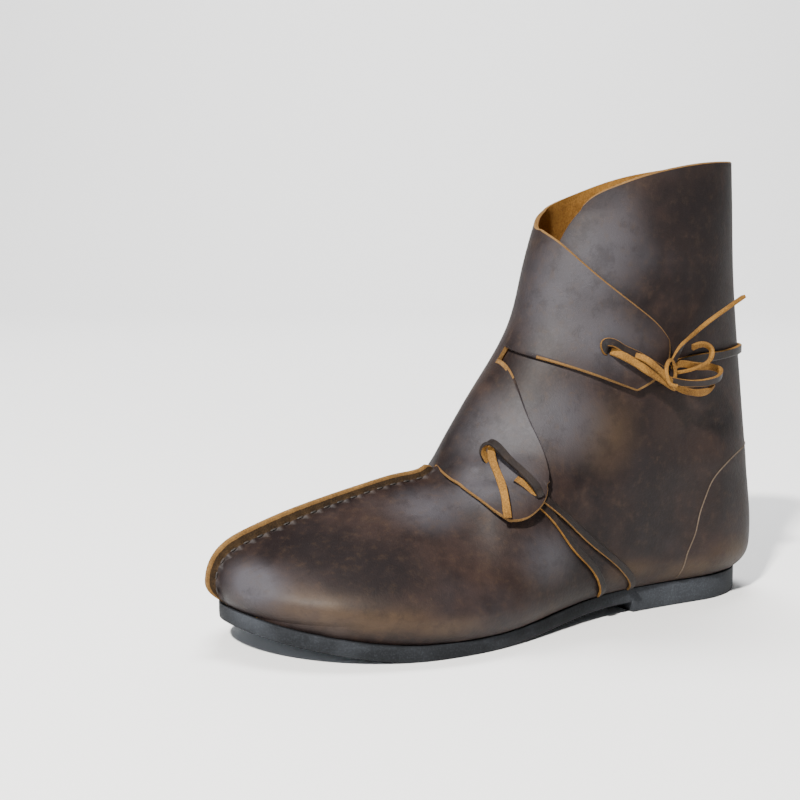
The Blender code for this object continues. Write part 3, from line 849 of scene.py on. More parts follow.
@dataclass(frozen=True)
class GrainLeather:
    """Oiled brown grain: dark blotches, rubbed golden patches, a random grey haze, pores, fine cracks and
    scuffs, with painted grey sheen and highlights and painted shadow round the thongs' slits.

    Attributes:
        patches: Middle and radii of the listed patches, in millimetres.
    """

    name: str = "grain_leather"
    dark: Colour = (0.0050, 0.0028, 0.0031)
    brown: Colour = (0.0190, 0.0106, 0.0086)
    rubbed: Colour = (0.050, 0.030, 0.016)
    # Colour of the painted sheen and highlight, and of the random haze.
    grey: Colour = (0.046, 0.043, 0.049)
    coat: float = 0.05
    coat_roughness: float = 0.40
    specular: float = 0.18
    patches: dict[Patch, Columns] = field(default_factory=lambda: {
        Patch.RUBBED_AND_TOE_HIGHLIGHT: table(
            "x y z across along up", (41, -102, 21, 28, 28, 13), (50, -83, 18, 18, 24, 9),
            (56, -61, 14, 14, 24, 7), (34, 80, 17, 18, 28, 9), (30, 108, 22, 22, 26, 12),
            (0, 132, 30, 30, 14, 22), (-42, -70, 20, 26, 50, 14), (38, 30, 84, 20, 26, 26),
            # The last spot, at the toe's tip, is part of the painted toe highlight.
            (40, 44, 22, 16, 24, 9), (30, -117, 25, 24, 20, 12)),
        Patch.GREY: table(
            "x y z across along up", (8, -130, 33, 18, 14, 13), (15, -127, 29, 20, 17, 11),
            (18, -50, 56, 24, 22, 16), (18, -16, 84, 28, 28, 32), (28, -18, 64, 24, 24, 18),
            (22, -29, 63, 20, 17, 14), (32, 10, 92, 24, 30, 28), (46, -8, 36, 20, 24, 17),
            (14, 18, 146, 28, 34, 44), (27, 36, 124, 25, 32, 22), (26, 38, 168, 22, 28, 38)),
        Patch.DARK: table(
            "x y z across along up", (26, -92, 40, 34, 34, 19), (9, -106, 46, 28, 28, 14),
            (41, -82, 33, 24, 32, 15), (36, 58, 62, 22, 40, 46), (30, 96, 150, 24, 42, 62),
            (28, 74, 184, 22, 30, 30), (30, 104, 54, 26, 30, 26), (38, 56, 38, 20, 28, 20),
            # The last three spots, small ones round the thongs' slits, are painted shadow.
            (-34, 40, 90, 24, 60, 50), (20, -21.5, 77, 6, 3.5, 6.5), (32, 33, 121.5, 6, 3.5, 4.5),
            (-4.3, 131.5, 117.4, 3, 6, 4))})
    broad: Noise = Noise(17, 3)
    blotch: Noise = Noise(62, 6, 0.66)
    speck: Noise = Noise(460, 3)
    ripple: Noise = Noise(130, 3)
    blotch_share: float = 0.55
    brown_ramp: tuple[float, float] = (0.36, 0.62)
    wear: Veil = Veil(Noise(34, 4, 0.62), 0.55, 0.74, 0.22)
    haze: Veil = Veil(Noise(24, 2), 0.54, 0.76, 0.18)
    mottle: Veil = Veil(Noise(110, 5, 0.7), 0.48, 0.66, 0.30)
    flecks: Veil = Veil(Noise(250, 5, 0.72), 0.50, 0.70, 0.20)
    scuffs: Veil = Veil(Noise(170, 4, 0.5, (1.0, 0.25, 1.0)), 0.62, 0.78, 0.4)
    scuff_ramp: tuple[float, float] = (0.45, 0.7)
    plain_roughness: float = 0.46
    blotch_roughness: float = 0.20
    speck_roughness: float = 0.12
    sheen_and_haze_gloss: float = 0.05
    pore_scale: float = 900.0
    pore_height: float = 0.35
    crack_scale: float = 520.0
    crack_width: float = 0.12
    crack_height: float = 0.35
    ripple_height: float = 0.8
    speck_height: float = 0.25
    bump_depth: float = 0.00020
    bump_strength: float = 0.45

    def patch(self, s: Shader, kind: Patch) -> Value:
        """Share of one kind of patch: the sum of its soft spots, broken up by its veil.

        Args:
            s: The material's shader.
            kind: Kind of patch.

        Returns:
            Share of the patch's colour.
        """
        total = sum(s.spots(self.patches.get(kind, {})), 0.0)
        return s.math("MINIMUM", total, 1.0) * s.veil(kind.value)

    def material(self) -> Material:
        """Builds the material: blotches, with every patch and veil laid over them in turn.

        Returns:
            The material.
        """
        s = Shader(self.name)
        blotch, speck = s.noise(self.blotch), s.noise(self.speck)
        share = s.noise(self.broad) * (1 - self.blotch_share) + blotch * self.blotch_share
        sheen_and_haze = self.patch(s, Patch.GREY) + s.veil(self.haze)
        base = s.mix(share.ramp(*self.brown_ramp), self.dark, self.brown)
        # Rubbed wear, with part of the painted toe highlight.
        base = s.mix((self.patch(s, Patch.RUBBED_AND_TOE_HIGHLIGHT) + s.veil(self.wear)).full(), base, self.rubbed)
        # Painted grey sheen and highlight from the grey patches, with the random haze.
        base = s.mix(sheen_and_haze.full(), base, self.grey)
        # Dark blotches, and painted shadow round the thongs' slits.
        base = s.mix(self.patch(s, Patch.DARK), base, self.dark)
        base = s.mix(s.veil(self.mottle), base, self.dark)
        base = s.mix(s.veil(self.flecks), base, self.rubbed)
        base = s.mix(s.veil(self.scuffs) * speck.ramp(*self.scuff_ramp), base, self.rubbed)
        roughness = (self.plain_roughness + self.blotch_roughness * blotch + self.speck_roughness * speck
                     - self.sheen_and_haze_gloss * sheen_and_haze)
        cracks = s.cells(self.crack_scale, "DISTANCE_TO_EDGE").ramp(0.0, self.crack_width)
        height = (s.cells(self.pore_scale) * self.pore_height + cracks * self.crack_height
                  + s.noise(self.ripple) * self.ripple_height + speck * self.speck_height)
        s.constants({"Coat Weight": self.coat, "Coat Roughness": self.coat_roughness,
                     "Specular IOR Level": self.specular})
        return s.finish(base, roughness, height, self.bump_depth, self.bump_strength)


@dataclass(frozen=True)
class FleshLeather:
    """Tan flesh side: fibrous and matt, with darker rubbed streaks."""

    name: str
    light: Colour = (0.36, 0.18, 0.040)
    dark: Colour = (0.15, 0.066, 0.012)
    fibre_scale: float = 1100.0
    fibre_detail: float = 4.0
    fibre_roughness: float = 0.7
    fibre_share: float = 0.65
    cloud: Noise = Noise(90, 3)
    light_ramp: tuple[float, float] = (0.30, 0.72)
    plain_roughness: float = 0.82
    cloud_roughness: float = 0.15
    cloud_height: float = 0.4
    bump_depth: float = 0.0004
    bump_strength: float = 0.6
    specular: float = 0.2

    def material(self) -> Material:
        """Builds the material: light and dark tan, shared out by fibres and clouds.

        Returns:
            The material.
        """
        s = Shader(self.name)
        fibre = s.noise(Noise(self.fibre_scale, self.fibre_detail, self.fibre_roughness))
        cloud = s.noise(self.cloud)
        share = (fibre * self.fibre_share + cloud * (1 - self.fibre_share)).ramp(*self.light_ramp)
        s.constants({"Specular IOR Level": self.specular})
        colour = s.mix(share, self.dark, self.light)
        return s.finish(colour, self.plain_roughness + self.cloud_roughness * cloud,
                        fibre + self.cloud_height * cloud, self.bump_depth, self.bump_strength)


@dataclass(frozen=True)
class SoleRubber:
    """Blue-grey rubber: fine speckle, dust at the heel and toe, and a slightly pitted skin."""

    name: str = "sole_rubber"
    dust: Columns = columns(
        "x y z across along up",
        (33, 80, 6, 26, 70, 16), (0, 128, 6, 40, 40, 16), (8, -131, 17, 18, 12, 10))
    body: Colour = (0.0054, 0.0063, 0.0079)
    dusty: Colour = (0.044, 0.049, 0.058)
    speckle: Veil = Veil(Noise(1300, 3, 0.65), 0.45, 0.75, 0.30)
    cloud: Veil = Veil(Noise(55, 3), 0.45, 0.75, 0.20)
    drag: Veil = Veil(Noise(240, 3, 0.5, (0.3, 0.3, 2.0)), 0.5, 0.8, 0.15)
    dust_share: float = 0.35
    dust_speckle: float = 0.5
    plain_roughness: float = 0.70
    speckle_roughness: float = 0.18
    drag_height: float = 0.6
    bump_depth: float = 0.0003
    bump_strength: float = 0.45
    specular: float = 0.2

    def material(self) -> Material:
        """Builds the material: rubber with dust in specks, clouds, drag marks and listed spots.

        Returns:
            The material.
        """
        s = Shader(self.name)
        speck, drag = s.noise(self.speckle.noise), s.noise(self.drag.noise)
        share = self.speckle.over(speck) + s.veil(self.cloud) + self.drag.over(drag)
        for spot in s.spots(self.dust):
            share = share + spot * (self.dust_share + self.dust_speckle * speck)
        s.constants({"Specular IOR Level": self.specular})
        return s.finish(s.mix(share.full(), self.body, self.dusty),
                        self.plain_roughness + self.speckle_roughness * speck,
                        speck + self.drag_height * drag, self.bump_depth, self.bump_strength)


@dataclass(frozen=True)
class WaxedThread:
    """Dark waxed thread with a twisted ply."""

    name: str = "waxed_thread"
    dark: Colour = (0.006, 0.004, 0.003)
    light: Colour = (0.024, 0.014, 0.008)
    ply: Noise = Noise(1500, 2, 0.5, (1.0, 0.4, 1.0))
    light_ramp: tuple[float, float] = (0.4, 0.7)
    plain_roughness: float = 0.5
    ply_roughness: float = 0.2
    bump_depth: float = 0.0002
    bump_strength: float = 0.5

    def material(self) -> Material:
        """Builds the material: light and dark thread, shared out by the ply.

        Returns:
            The material.
        """
        s = Shader(self.name)
        ply = s.noise(self.ply)
        colour = s.mix(ply.ramp(*self.light_ramp), self.dark, self.light)
        return s.finish(colour, self.plain_roughness + self.ply_roughness * ply, ply,
                        self.bump_depth, self.bump_strength)


@dataclass(frozen=True)
class PaleFloor:
    """Plain pale studio floor."""

    name: str = "pale_floor"
    colour: Colour = (0.86, 0.86, 0.86)
    roughness: float = 0.9

    def material(self) -> Material:
        """Builds the material."""
        return Shader(self.name).finish(self.colour, self.roughness)


def made(kind: type, *parts: object, **values: object) -> Material:
    """Dataclass field that holds the material of a finish."""
    return field(default_factory=lambda: kind(*parts, **values).material())


@dataclass
class Finishes:
    """Every material of the boot."""

    grain: Material = made(GrainLeather)
    flesh: Material = made(FleshLeather, "flesh_leather")
    cut: Material = made(FleshLeather, "cut_edge", (0.185, 0.100, 0.032), (0.08, 0.040, 0.012), 1500.0)
    seam_wall: Material = made(
        FleshLeather, "seam_wall", (0.040, 0.022, 0.008), (0.011, 0.006, 0.003), 1500.0)
    counter: Material = made(
        FleshLeather, "counter_edge", (0.110, 0.084, 0.062), (0.050, 0.036, 0.026), 1500.0)
    thong: Material = made(FleshLeather, "thong_flesh", (0.26, 0.128, 0.027), (0.070, 0.031, 0.006), 1700.0)
    thong_grain: Material = made(
        GrainLeather, "thong_grain", (0.0045, 0.0029, 0.0027), (0.0125, 0.0080, 0.0066),
        coat=0.10, patches={})
    insole: Material = made(FleshLeather, "insole_leather", (0.22, 0.12, 0.04), (0.11, 0.055, 0.016), 700.0)
    rubber: Material = made(SoleRubber)
    thread: Material = made(WaxedThread)


@dataclass(frozen=True)
class Flap:
    """Flap of the upper, from the front line to its free edges.

    Attributes:
        foot: Lower edge, past the front line.
        head: Upper edge, past the front line.
        end: Edge at its tip, from the foot edge to the head edge.
        lift: How far its tip lifts.
        by_turn: Whether its edges run evenly in angle round the leg rather than in the side view.
        pale_columns: Columns at the tip whose foot edge is pared pale.
        pale_corner: Pared columns by the front line in each row below the head edge.
        pale_band: Width of the pared band below the head edge.
        dark_corner: Rows below the head edge in which the end stays unpared grain, as painted shade.
    """

    foot: Columns
    head: Columns
    end: Columns
    lift: float
    by_turn: bool
    pale_columns: int
    pale_corner: tuple[int, ...] = ()
    pale_band: float = 0.0
    dark_corner: int = 0


@dataclass
class Upper:
    """Wrapped leather upper: outer panel, inner side and both flaps in one thick sheet."""

    form: BootForm
    sections: Columns = columns(
        "front_z base_y", (16.2, -128), (21.5, -124), (28.5, -118), (36.5, -110), (44.5, -99), (51, -84),
        (57.5, -65), (63, -41), (69.5, -15), (79, 9), (88, 32), (98, 55), (108, 79), (116.5, 101),
        (122, 120), (132, 130.5))
    seam_section: int = 8
    low_flap_section: int = 13
    high_flap_section: int = 14
    section_rows: int = 10
    leg_rows: int = 62
    side_columns: int = 92
    flap_columns: int = 46
    notch_columns: int = 3
    edge_points: int = 400
    flap_spread: float = 1.35
    last_column: float = 0.984
    flap_ramp: float = 0.2
    lift_from: float = -0.6
    first_row: int = 1
    heel_row_power: float = 1.8
    even_up_to_z: float = 70.0
    eased_over_z: float = 60.0
    least_easing: float = 0.35
    skive: float = 0.6
    skive_width: float = 0.6
    turn_scale: float = 55.0
    first_row_up: float = 0.013
    last_row_up: float = 0.978
    low_flap: Flap = field(default_factory=lambda: Flap(
        foot=table("y z", (-35.2, 65.4), (-33.8, 62), (-31.6, 58.2), (-28.8, 53.4), (-25.6, 50)),
        head=table("y z", (-3.9, 109.6), (-3.0, 92), (-1.3, 76), (-2.4, 67.6)),
        end=table("y z", (-25.6, 50), (-20.5, 50.4), (-15.3, 52.4), (-8, 58), (-2.4, 67.6)),
        lift=2.6, by_turn=False, pale_columns=46, pale_corner=(11, 6), dark_corner=8))
    high_flap: Flap = field(default_factory=lambda: Flap(
        foot=table("y z", (7.5, 117.1), (16.8, 113.6), (37.2, 105.7), (46, 102.5)),
        head=table("y z", (19.6, 170.2), (30.2, 156.2), (49.6, 139.2), (60.6, 129.6), (64.2, 124.6)),
        end=table("y z", (46, 102.5), (56, 107), (63.4, 114.6), (64.2, 124.6)),
        lift=0.8, by_turn=True, pale_columns=25, pale_band=1.1))

    def section_grid(self, side: Side) -> Array:
        """Places (y, z) of the sections: fans from the front line to the seat, then rows up to the collar.

        Args:
            side: Side of the foot.

        Returns:
            Rows by columns by two.
        """
        form = self.form
        last = len(self.sections["front_z"]) - 1
        at = np.linspace(0, last, last * self.section_rows + 1)[self.first_row:]
        front_z = np.interp(at, np.arange(last + 1), self.sections["front_z"])
        base_y = np.interp(at, np.arange(last + 1), self.sections["base_y"])
        even = np.linspace(0, 1, self.side_columns + 1)
        eased = (1 - np.cos(np.pi * even)) / 2
        share = np.clip((front_z - self.even_up_to_z) / self.eased_over_z, 0, 1)[:, None]
        share = self.least_easing + (1 - self.least_easing) * share
        across = share * eased + (1 - share) * even
        foot_y = form.front_y(front_z)[:, None] * (1 - across) + base_y[:, None] * across
        foot_z = front_z[:, None] * (1 - across) + (form.seat_z(base_y) + form.gap)[:, None] * across
        top_y, top_z = foot_y[-1], foot_z[-1]
        top_share = (top_y - form.front_y(top_z)) / (form.back_y(top_z) - form.front_y(top_z))
        collar_z = form.collar_z(eased, side)
        rise = np.linspace(0, 1, self.leg_rows + 1)[1:, None] ** (1 + (self.heel_row_power - 1) * eased)
        leg_z = top_z * (1 - rise) + collar_z * rise
        leg_share = top_share * (1 - rise) + eased * rise
        leg_z = np.insert(leg_z, -1, collar_z - self.skive_width, axis=0)
        leg_share = np.insert(leg_share, -1, eased, axis=0)
        leg_y = form.front_y(leg_z) + leg_share * (form.back_y(leg_z) - form.front_y(leg_z))
        return np.stack([np.vstack([foot_y, leg_y]), np.vstack([foot_z, leg_z])], axis=-1)

    def row(self, section: int) -> int:
        """Row of the grid at a section."""
        return section * self.section_rows - self.first_row

    def side_sheet(self, side: Side) -> tuple[Array, Array, Array]:
        """Outer points, inner points and normals of one side.

        Args:
            side: Side of the foot.

        Returns:
            Three arrays, rows by columns by three.
        """
        form = self.form
        y, z = np.moveaxis(self.section_grid(side), -1, 0)
        points = form.point(y, z, side)
        normals = grid_normals(points, np.array([side.value, 0, 0]))
        heel = self.row(len(self.sections["front_z"]) - 1)
        normals[:, 0] = form.line_normal(form.front, z[:, 0], -1)
        normals[heel:, -1] = form.line_normal(form.heel, z[heel:, -1], 1)
        lift = form.relief(y, z, side)
        if side is Side.LATERAL:
            lift = lift - form.lap_recess(y, z)
        outer = points + lift[..., None] * normals
        inner = outer - form.wall * normals
        inner[:heel + 1, -1, 2] = outer[:heel + 1, -1, 2]
        return outer, inner, normals

    def flap_places(self, front: Array, flap: Flap) -> Array:
        """Places (y, z) of a flap: a patch blended between its front, foot, head and end edges.

        Args:
            front: Places along the front line.
            flap: The flap.

        Returns:
            Rows by columns by two.
        """
        form = self.form
        foot, head, end = (np.stack([edge["y"], edge["z"]], axis=1)
                           for edge in (flap.foot, flap.head, flap.end))
        if flap.by_turn:
            front = front * np.array([0.0, 1.0])
            for edge in (foot, head, end):
                edge[:, 0] = self.turn_scale * form.section_turn(edge[:, 0], edge[:, 1])
        foot = through(*np.vstack([front[:1], foot]).T, count=self.edge_points)
        head = through(*np.vstack([front[-1:], head]).T, count=self.edge_points)
        end = through(*end.T, count=self.edge_points)
        pick = np.linspace(0, 1, self.edge_points)

        def along(edge: Array, at: Array) -> Array:
            """Points at shares of an edge."""
            return np.stack([np.interp(at, pick, edge[:, k]) for k in (0, 1)], axis=-1)

        across = self.flap_across()
        up = np.concatenate([[0], np.linspace(self.first_row_up, self.last_row_up, len(front) - 2), [1]])
        near, far = front[:, None], along(end, up)[:, None]
        r, c = up[:, None, None], across[None, :, None]
        corners = (1 - r) * ((1 - c) * near[:1] + c * far[:1]) + r * ((1 - c) * near[-1:] + c * far[-1:])
        grid = (1 - r) * along(foot, across)[None] + r * along(head, across)[None]
        grid = grid + (1 - c) * near + c * far - corners
        if flap.by_turn:
            turn = np.clip(grid[..., 0] / self.turn_scale, 0, np.pi)
            grid[..., 0] = form.turned_y(turn, grid[..., 1])
        grid[..., 0] = np.maximum(grid[..., 0], form.front_y(grid[..., 1]))
        return grid

    def flap_across(self) -> Array:
        """Shares across a flap, with a narrow last column that is pared down to its edge."""
        return np.append(np.linspace(0, 1, self.flap_columns) ** self.flap_spread * self.last_column, 1.0)

    def flap_stand(self, y: Array, z: Array, lift: float) -> Array:
        """How far a flap's outer face stands off the panel's full form, rising from the front line.

        Args:
            y: Places along the foot.
            z: Heights.
            lift: How far the flap's tip lifts.

        Returns:
            Distances along the normal.
        """
        form = self.form
        across = self.flap_across()
        stand = form.wall + form.lap_gap - form.lap_recess(y, z)
        stand = stand + lift * smooth(self.lift_from + (1 - self.lift_from) * across)
        return stand * smooth(across / self.flap_ramp)

    def flap_sheet(self, front: Array, flap: Flap) -> tuple[Array, Array, Array]:
        """Outer points, inner points and normals of a flap.

        Args:
            front: Places along the front line.
            flap: The flap.

        Returns:
            Three arrays, rows by columns by three.
        """
        y, z = np.moveaxis(self.flap_places(front, flap), -1, 0)
        points = self.form.point(y, z, Side.LATERAL)
        normals = grid_normals(points, np.array([1.0, 0, 0]))
        normals[:, 0] = self.form.line_normal(self.form.front, z[:, 0], -1)
        outer = points + self.flap_stand(y, z, flap.lift)[..., None] * normals
        return outer, outer - self.form.wall * normals, normals

    @staticmethod
    def below_head(outer: Array) -> Array:
        """Distance from the middle of each cell of a flap to the head edge in its column, tip first.

        Args:
            outer: Outer points of the flap.

        Returns:
            Distances, rows of cells by columns of cells.
        """
        sides = (outer[:, :-1] + outer[:, 1:]) / 2
        middles = (sides[:-1] + sides[1:]) / 2
        return np.linalg.norm(middles - sides[-1], axis=-1)[:, ::-1]

    def build(self, finishes: Finishes) -> Piece:
        """Joins both sides and the flaps into one grid: flap, inner side, outer side.

        Args:
            finishes: Materials of the boot.

        Returns:
            The upper's object.
        """
        sheets = {side: self.side_sheet(side) for side in Side}
        rows, flaps = len(sheets[Side.MEDIAL][0]), self.flap_columns
        back = flaps + self.side_columns
        seam, heel = self.row(self.seam_section), self.row(len(self.sections["front_z"]) - 1)
        front = self.section_grid(Side.MEDIAL)[:, 0]
        laid = [np.repeat(part[:, :1], flaps, axis=1) for part in sheets[Side.MEDIAL]]
        cells = np.ones((rows - 1, back + 1 + self.side_columns), bool)
        cells[:, :flaps] = False
        cells[:, back] = False
        skived = np.zeros_like(cells)
        skived[-1] = True
        joined, turned_in, edge = np.zeros((3, rows, cells.shape[1] + 1), bool)
        joined[heel:, back:back + 2] = True
        joined[:seam + 1, [flaps, -1]] = True
        turned_in[:heel + 1, back:back + 2] = True
        turned_in[0] = True
        edge[-1] = True
        for first, last, flap in ((seam, self.row(self.low_flap_section), self.low_flap),
                                  (self.row(self.high_flap_section), rows - 1, self.high_flap)):
            sheet = self.flap_sheet(front[first:last + 1], flap)
            for whole, part in zip(laid, sheet):
                whole[first:last + 1] = part[:, :0:-1]
            cells[first:last, :flaps] = True
            edge[[first, last], :flaps] = True
            edge[first:last + 1, 0] = True
            # Along the foot edge only the pale columns are pared; past them, up to the notch, the edge
            # keeps the grain's colour as painted shade.
            skived[first, :flap.pale_columns] = True
            # The end is pared up to some rows below the head edge; above that it stays dark grain as
            # painted shade.
            skived[first:last - flap.dark_corner, 0] = True
            skived[first:last, :flaps] |= self.below_head(sheet[0]) < flap.pale_band
            turned_in[first, flap.pale_columns:flaps - self.notch_columns] = True
            for below, count in enumerate(flap.pale_corner, 1):
                skived[last - below, flaps - count:flaps] = True
            # The low flap's head edge keeps the grain's colour as painted shade.
            if flap.pale_corner:
                turned_in[last, :flaps - flap.pale_corner[0]] = True
        outer, inner, normals = (
            np.concatenate([near, medial, lateral[:, ::-1]], axis=1)
            for near, medial, lateral in zip(laid, sheets[Side.MEDIAL], sheets[Side.LATERAL]))
        outer = outer - (self.skive * edge)[..., None] * normals
        sheet = LeatherSheet(outer, inner, cells, joined, skived, turned_in)
        obj = sheet.build("upper_leather", [finishes.grain, finishes.flesh, finishes.cut], normals)
        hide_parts("upper")
        return obj


@dataclass
class VampSeam:
    """Raised seam along the vamp: two leaves of leather turned up, cut edges on top, and its stitches.

    Attributes:
        crown: How much higher the seam stands round one place, crown_at, as a share of its length.
        pucker: How far the leaves' feet swing in and out between stitches.
        wall_from: First face of a leaf's profile that is wall.
        cut_from: First face of a leaf's profile that is cut edge.
        first_stitch: Place of the first thread's middle, in pitches.
    """

    form: BootForm
    height: float = 4.6
    crown: float = 1.2
    crown_at: float = 0.35
    crown_spread: float = 0.2
    half_width: float = 1.05
    fillet: float = 1.4
    fillet_points: int = 7
    foot_reach: float = 0.9
    bevel: float = 0.42
    bevel_inset: tuple[float, float] = (0.35, 1.0)
    bevel_drop: float = 0.3
    groove: float = 0.6
    groove_half: float = 0.12
    sunk: float = 0.35
    taper_z: float = 12.0
    start_z: float = 16.6
    end_z: float = 68.6
    blunt: float = 3.0
    blunt_from: float = 0.4
    least_height: float = 0.3
    least_wall: float = 0.1
    least_top: float = 0.15
    pitch: float = 6.4
    pucker: float = 0.7
    pucker_rise: float = 0.4
    wall_pucker: float = 0.12
    wall_share: float = 0.72
    wall_from: int = 5
    cut_from: int = 8
    rows: int = 420
    line_points: int = 4000
    deepest: float = 25.0
    halvings: int = 28
    first_stitch: float = 1.5
    thread_length: float = 3.2
    thread_radius: float = 0.45
    thread_height: float = 0.75
    thread_out: float = 0.15
    thread_rings: int = 7
    thread_sides: int = 6
    thread_tip: float = 0.02

    def route(self) -> tuple[Array, Array, Array]:
        """Points, normals and lengths along the ridge, evenly spaced.

        Returns:
            Points and normals, rows by three, and the length from the toe at each row.
        """
        z = np.linspace(self.start_z, self.end_z, self.line_points)
        y = self.form.front_y(z)
        length = np.concatenate([[0], np.cumsum(np.hypot(np.diff(y), np.diff(z)))])
        at = np.linspace(0, length[-1], self.rows)
        z = np.interp(at, length, z)
        y = self.form.front_y(z)
        return np.stack([self.form.centre_x(y), y, z], 1), self.form.line_normal(self.form.front, z, -1), at

    def drop(self, ridge: Array, normals: Array, wide: Array, side: Side) -> Array:
        """How far the leather has fallen from the ridge at a distance to one side, found by halving.

        Args:
            ridge: Points of the ridge, rows by one by three.
            normals: Its normals.
            wide: Distances to the side, rows by columns.
            side: Side of the foot.

        Returns:
            Depths, rows by columns.
        """
        low, high = np.zeros_like(wide), np.full_like(wide, self.deepest)
        for _ in range(self.halvings):
            depth = (low + high) / 2
            place = ridge - depth[..., None] * normals
            short = self.form.half(place[..., 1], place[..., 2], side) < wide
            low, high = np.where(short, depth, low), np.where(short, high, depth)
        return (low + high) / 2

    def leaf(self, side: Side, ridge: Array, normals: Array, at: Array) -> Array:
        """One leaf's face: flare puckered between stitches, wall, bevelled top and middle groove.

        Args:
            side: Side of the foot.
            ridge: Points along the ridge.
            normals: Their normals.
            at: Lengths along the ridge.

        Returns:
            Rows by profile points by three.
        """
        turn = np.linspace(0, np.pi / 2, self.fillet_points)
        crown = self.crown * np.exp(-((at / at[-1] - self.crown_at) / self.crown_spread) ** 2)
        height = (self.height + crown) * smooth((ridge[:, 2] - self.start_z) / self.taper_z)
        height = height * rounded(at[-1] - at + self.blunt_from, self.blunt)
        height = np.maximum(height, self.least_height)[:, None]
        wave = np.cos(2 * np.pi * at / self.pitch)[:, None]
        pull = self.pucker * wave
        swell = self.pucker_rise * np.clip(wave, 0, 1)
        flare = self.half_width + self.fillet * (1 - np.sin(turn)) + pull * (1 - turn / turn[-1])
        flare_rise = np.minimum(self.fillet * (1 - np.cos(turn)) + swell * np.sin(2 * turn), height)
        wall = np.repeat(self.half_width + self.wall_pucker * pull, 2, axis=1)
        wall_rise = np.concatenate([self.wall_share * height, height - self.bevel], axis=1)
        top = self.half_width - self.bevel * np.array([self.bevel_inset]) + 0 * height
        top_rise = np.concatenate([height - self.bevel_drop * self.bevel, height], axis=1)
        wide = np.concatenate([flare[:, :1] + self.foot_reach, flare, wall, top,
                               np.full_like(height, self.groove_half)], axis=1)
        rise = np.concatenate([np.full_like(height, -self.sunk), flare_rise,
                               np.maximum(wall_rise, self.least_wall), np.maximum(top_rise, self.least_top),
                               height - self.groove], axis=1)
        depth = self.drop(ridge[:, None], normals[:, None], wide, side)
        across = np.stack([side.value * wide, 0 * wide, 0 * wide], axis=-1)
        return ridge[:, None] + across + (rise - depth)[..., None] * normals[:, None]

    def build(self, finishes: Finishes) -> list[Piece]:
        """Makes the raised seam and its stitches.

        Args:
            finishes: Materials of the boot.

        Returns:
            The seam and its thread.
        """
        ridge, normals, at = self.route()
        leaves = [self.leaf(side, ridge, normals, at) for side in Side]
        profile = np.concatenate([leaves[0], leaves[1][:, ::-1]], axis=1)
        last = profile.shape[1] - 1
        dress = np.full(last + 1, Skin.GRAIN)
        dress[self.wall_from:last - self.wall_from] = Skin.FLESH
        dress[self.cut_from:last - self.cut_from] = Skin.CUT
        which = np.append(np.tile(dress, len(profile) - 1), [Skin.FLESH, Skin.CUT])
        seam = mesh_object("vamp_seam", profile.reshape(-1, 3), tube_faces(profile),
                           [finishes.grain, finishes.seam_wall, finishes.cut], which)
        return [seam, self.stitches(finishes, ridge, normals, at)]

    def stitches(self, finishes: Finishes, ridge: Array, normals: Array, at: Array) -> Piece:
        """Short threads along both walls, one between each pair of holes.

        Each thread is a capsule: a circle carried along the wall, its radius falling away at both ends.

        Args:
            finishes: Materials of the boot.
            ridge: Points along the ridge.
            normals: Their normals.
            at: Lengths along the ridge.

        Returns:
            The thread's object.
        """
        middles = np.arange(self.first_stitch * self.pitch, at[-1] - self.pitch, self.pitch)
        along = np.linspace(-0.5, 0.5, self.thread_rings)
        lengths = middles[:, None] + along * self.thread_length
        thick = self.thread_radius * np.sqrt(np.maximum(1 - (2 * along) ** 4, self.thread_tip))
        turn = np.linspace(0, 2 * np.pi, self.thread_sides + 1)[:-1, None]
        base = np.stack([np.interp(lengths, at, ridge[:, k]) for k in range(3)], axis=-1)
        up = np.stack([np.interp(lengths, at, normals[:, k]) for k in range(3)], axis=-1)
        ring = np.cos(turn) * np.array([1.0, 0, 0]) + np.sin(turn) * up[..., None, :]
        wide = np.full(lengths.shape, self.half_width + self.thread_out)
        threads = []
        for side in Side:
            line = base + (self.thread_height - self.drop(base, up, wide, side))[..., None] * up
            line[..., 0] += side.value * wide
            threads.append(line[..., None, :] + thick[:, None, None] * ring)
        body = np.stack(threads)
        thread = mesh_object("seam_thread", body.reshape(-1, 3), tube_faces(body), [finishes.thread])
        return thread


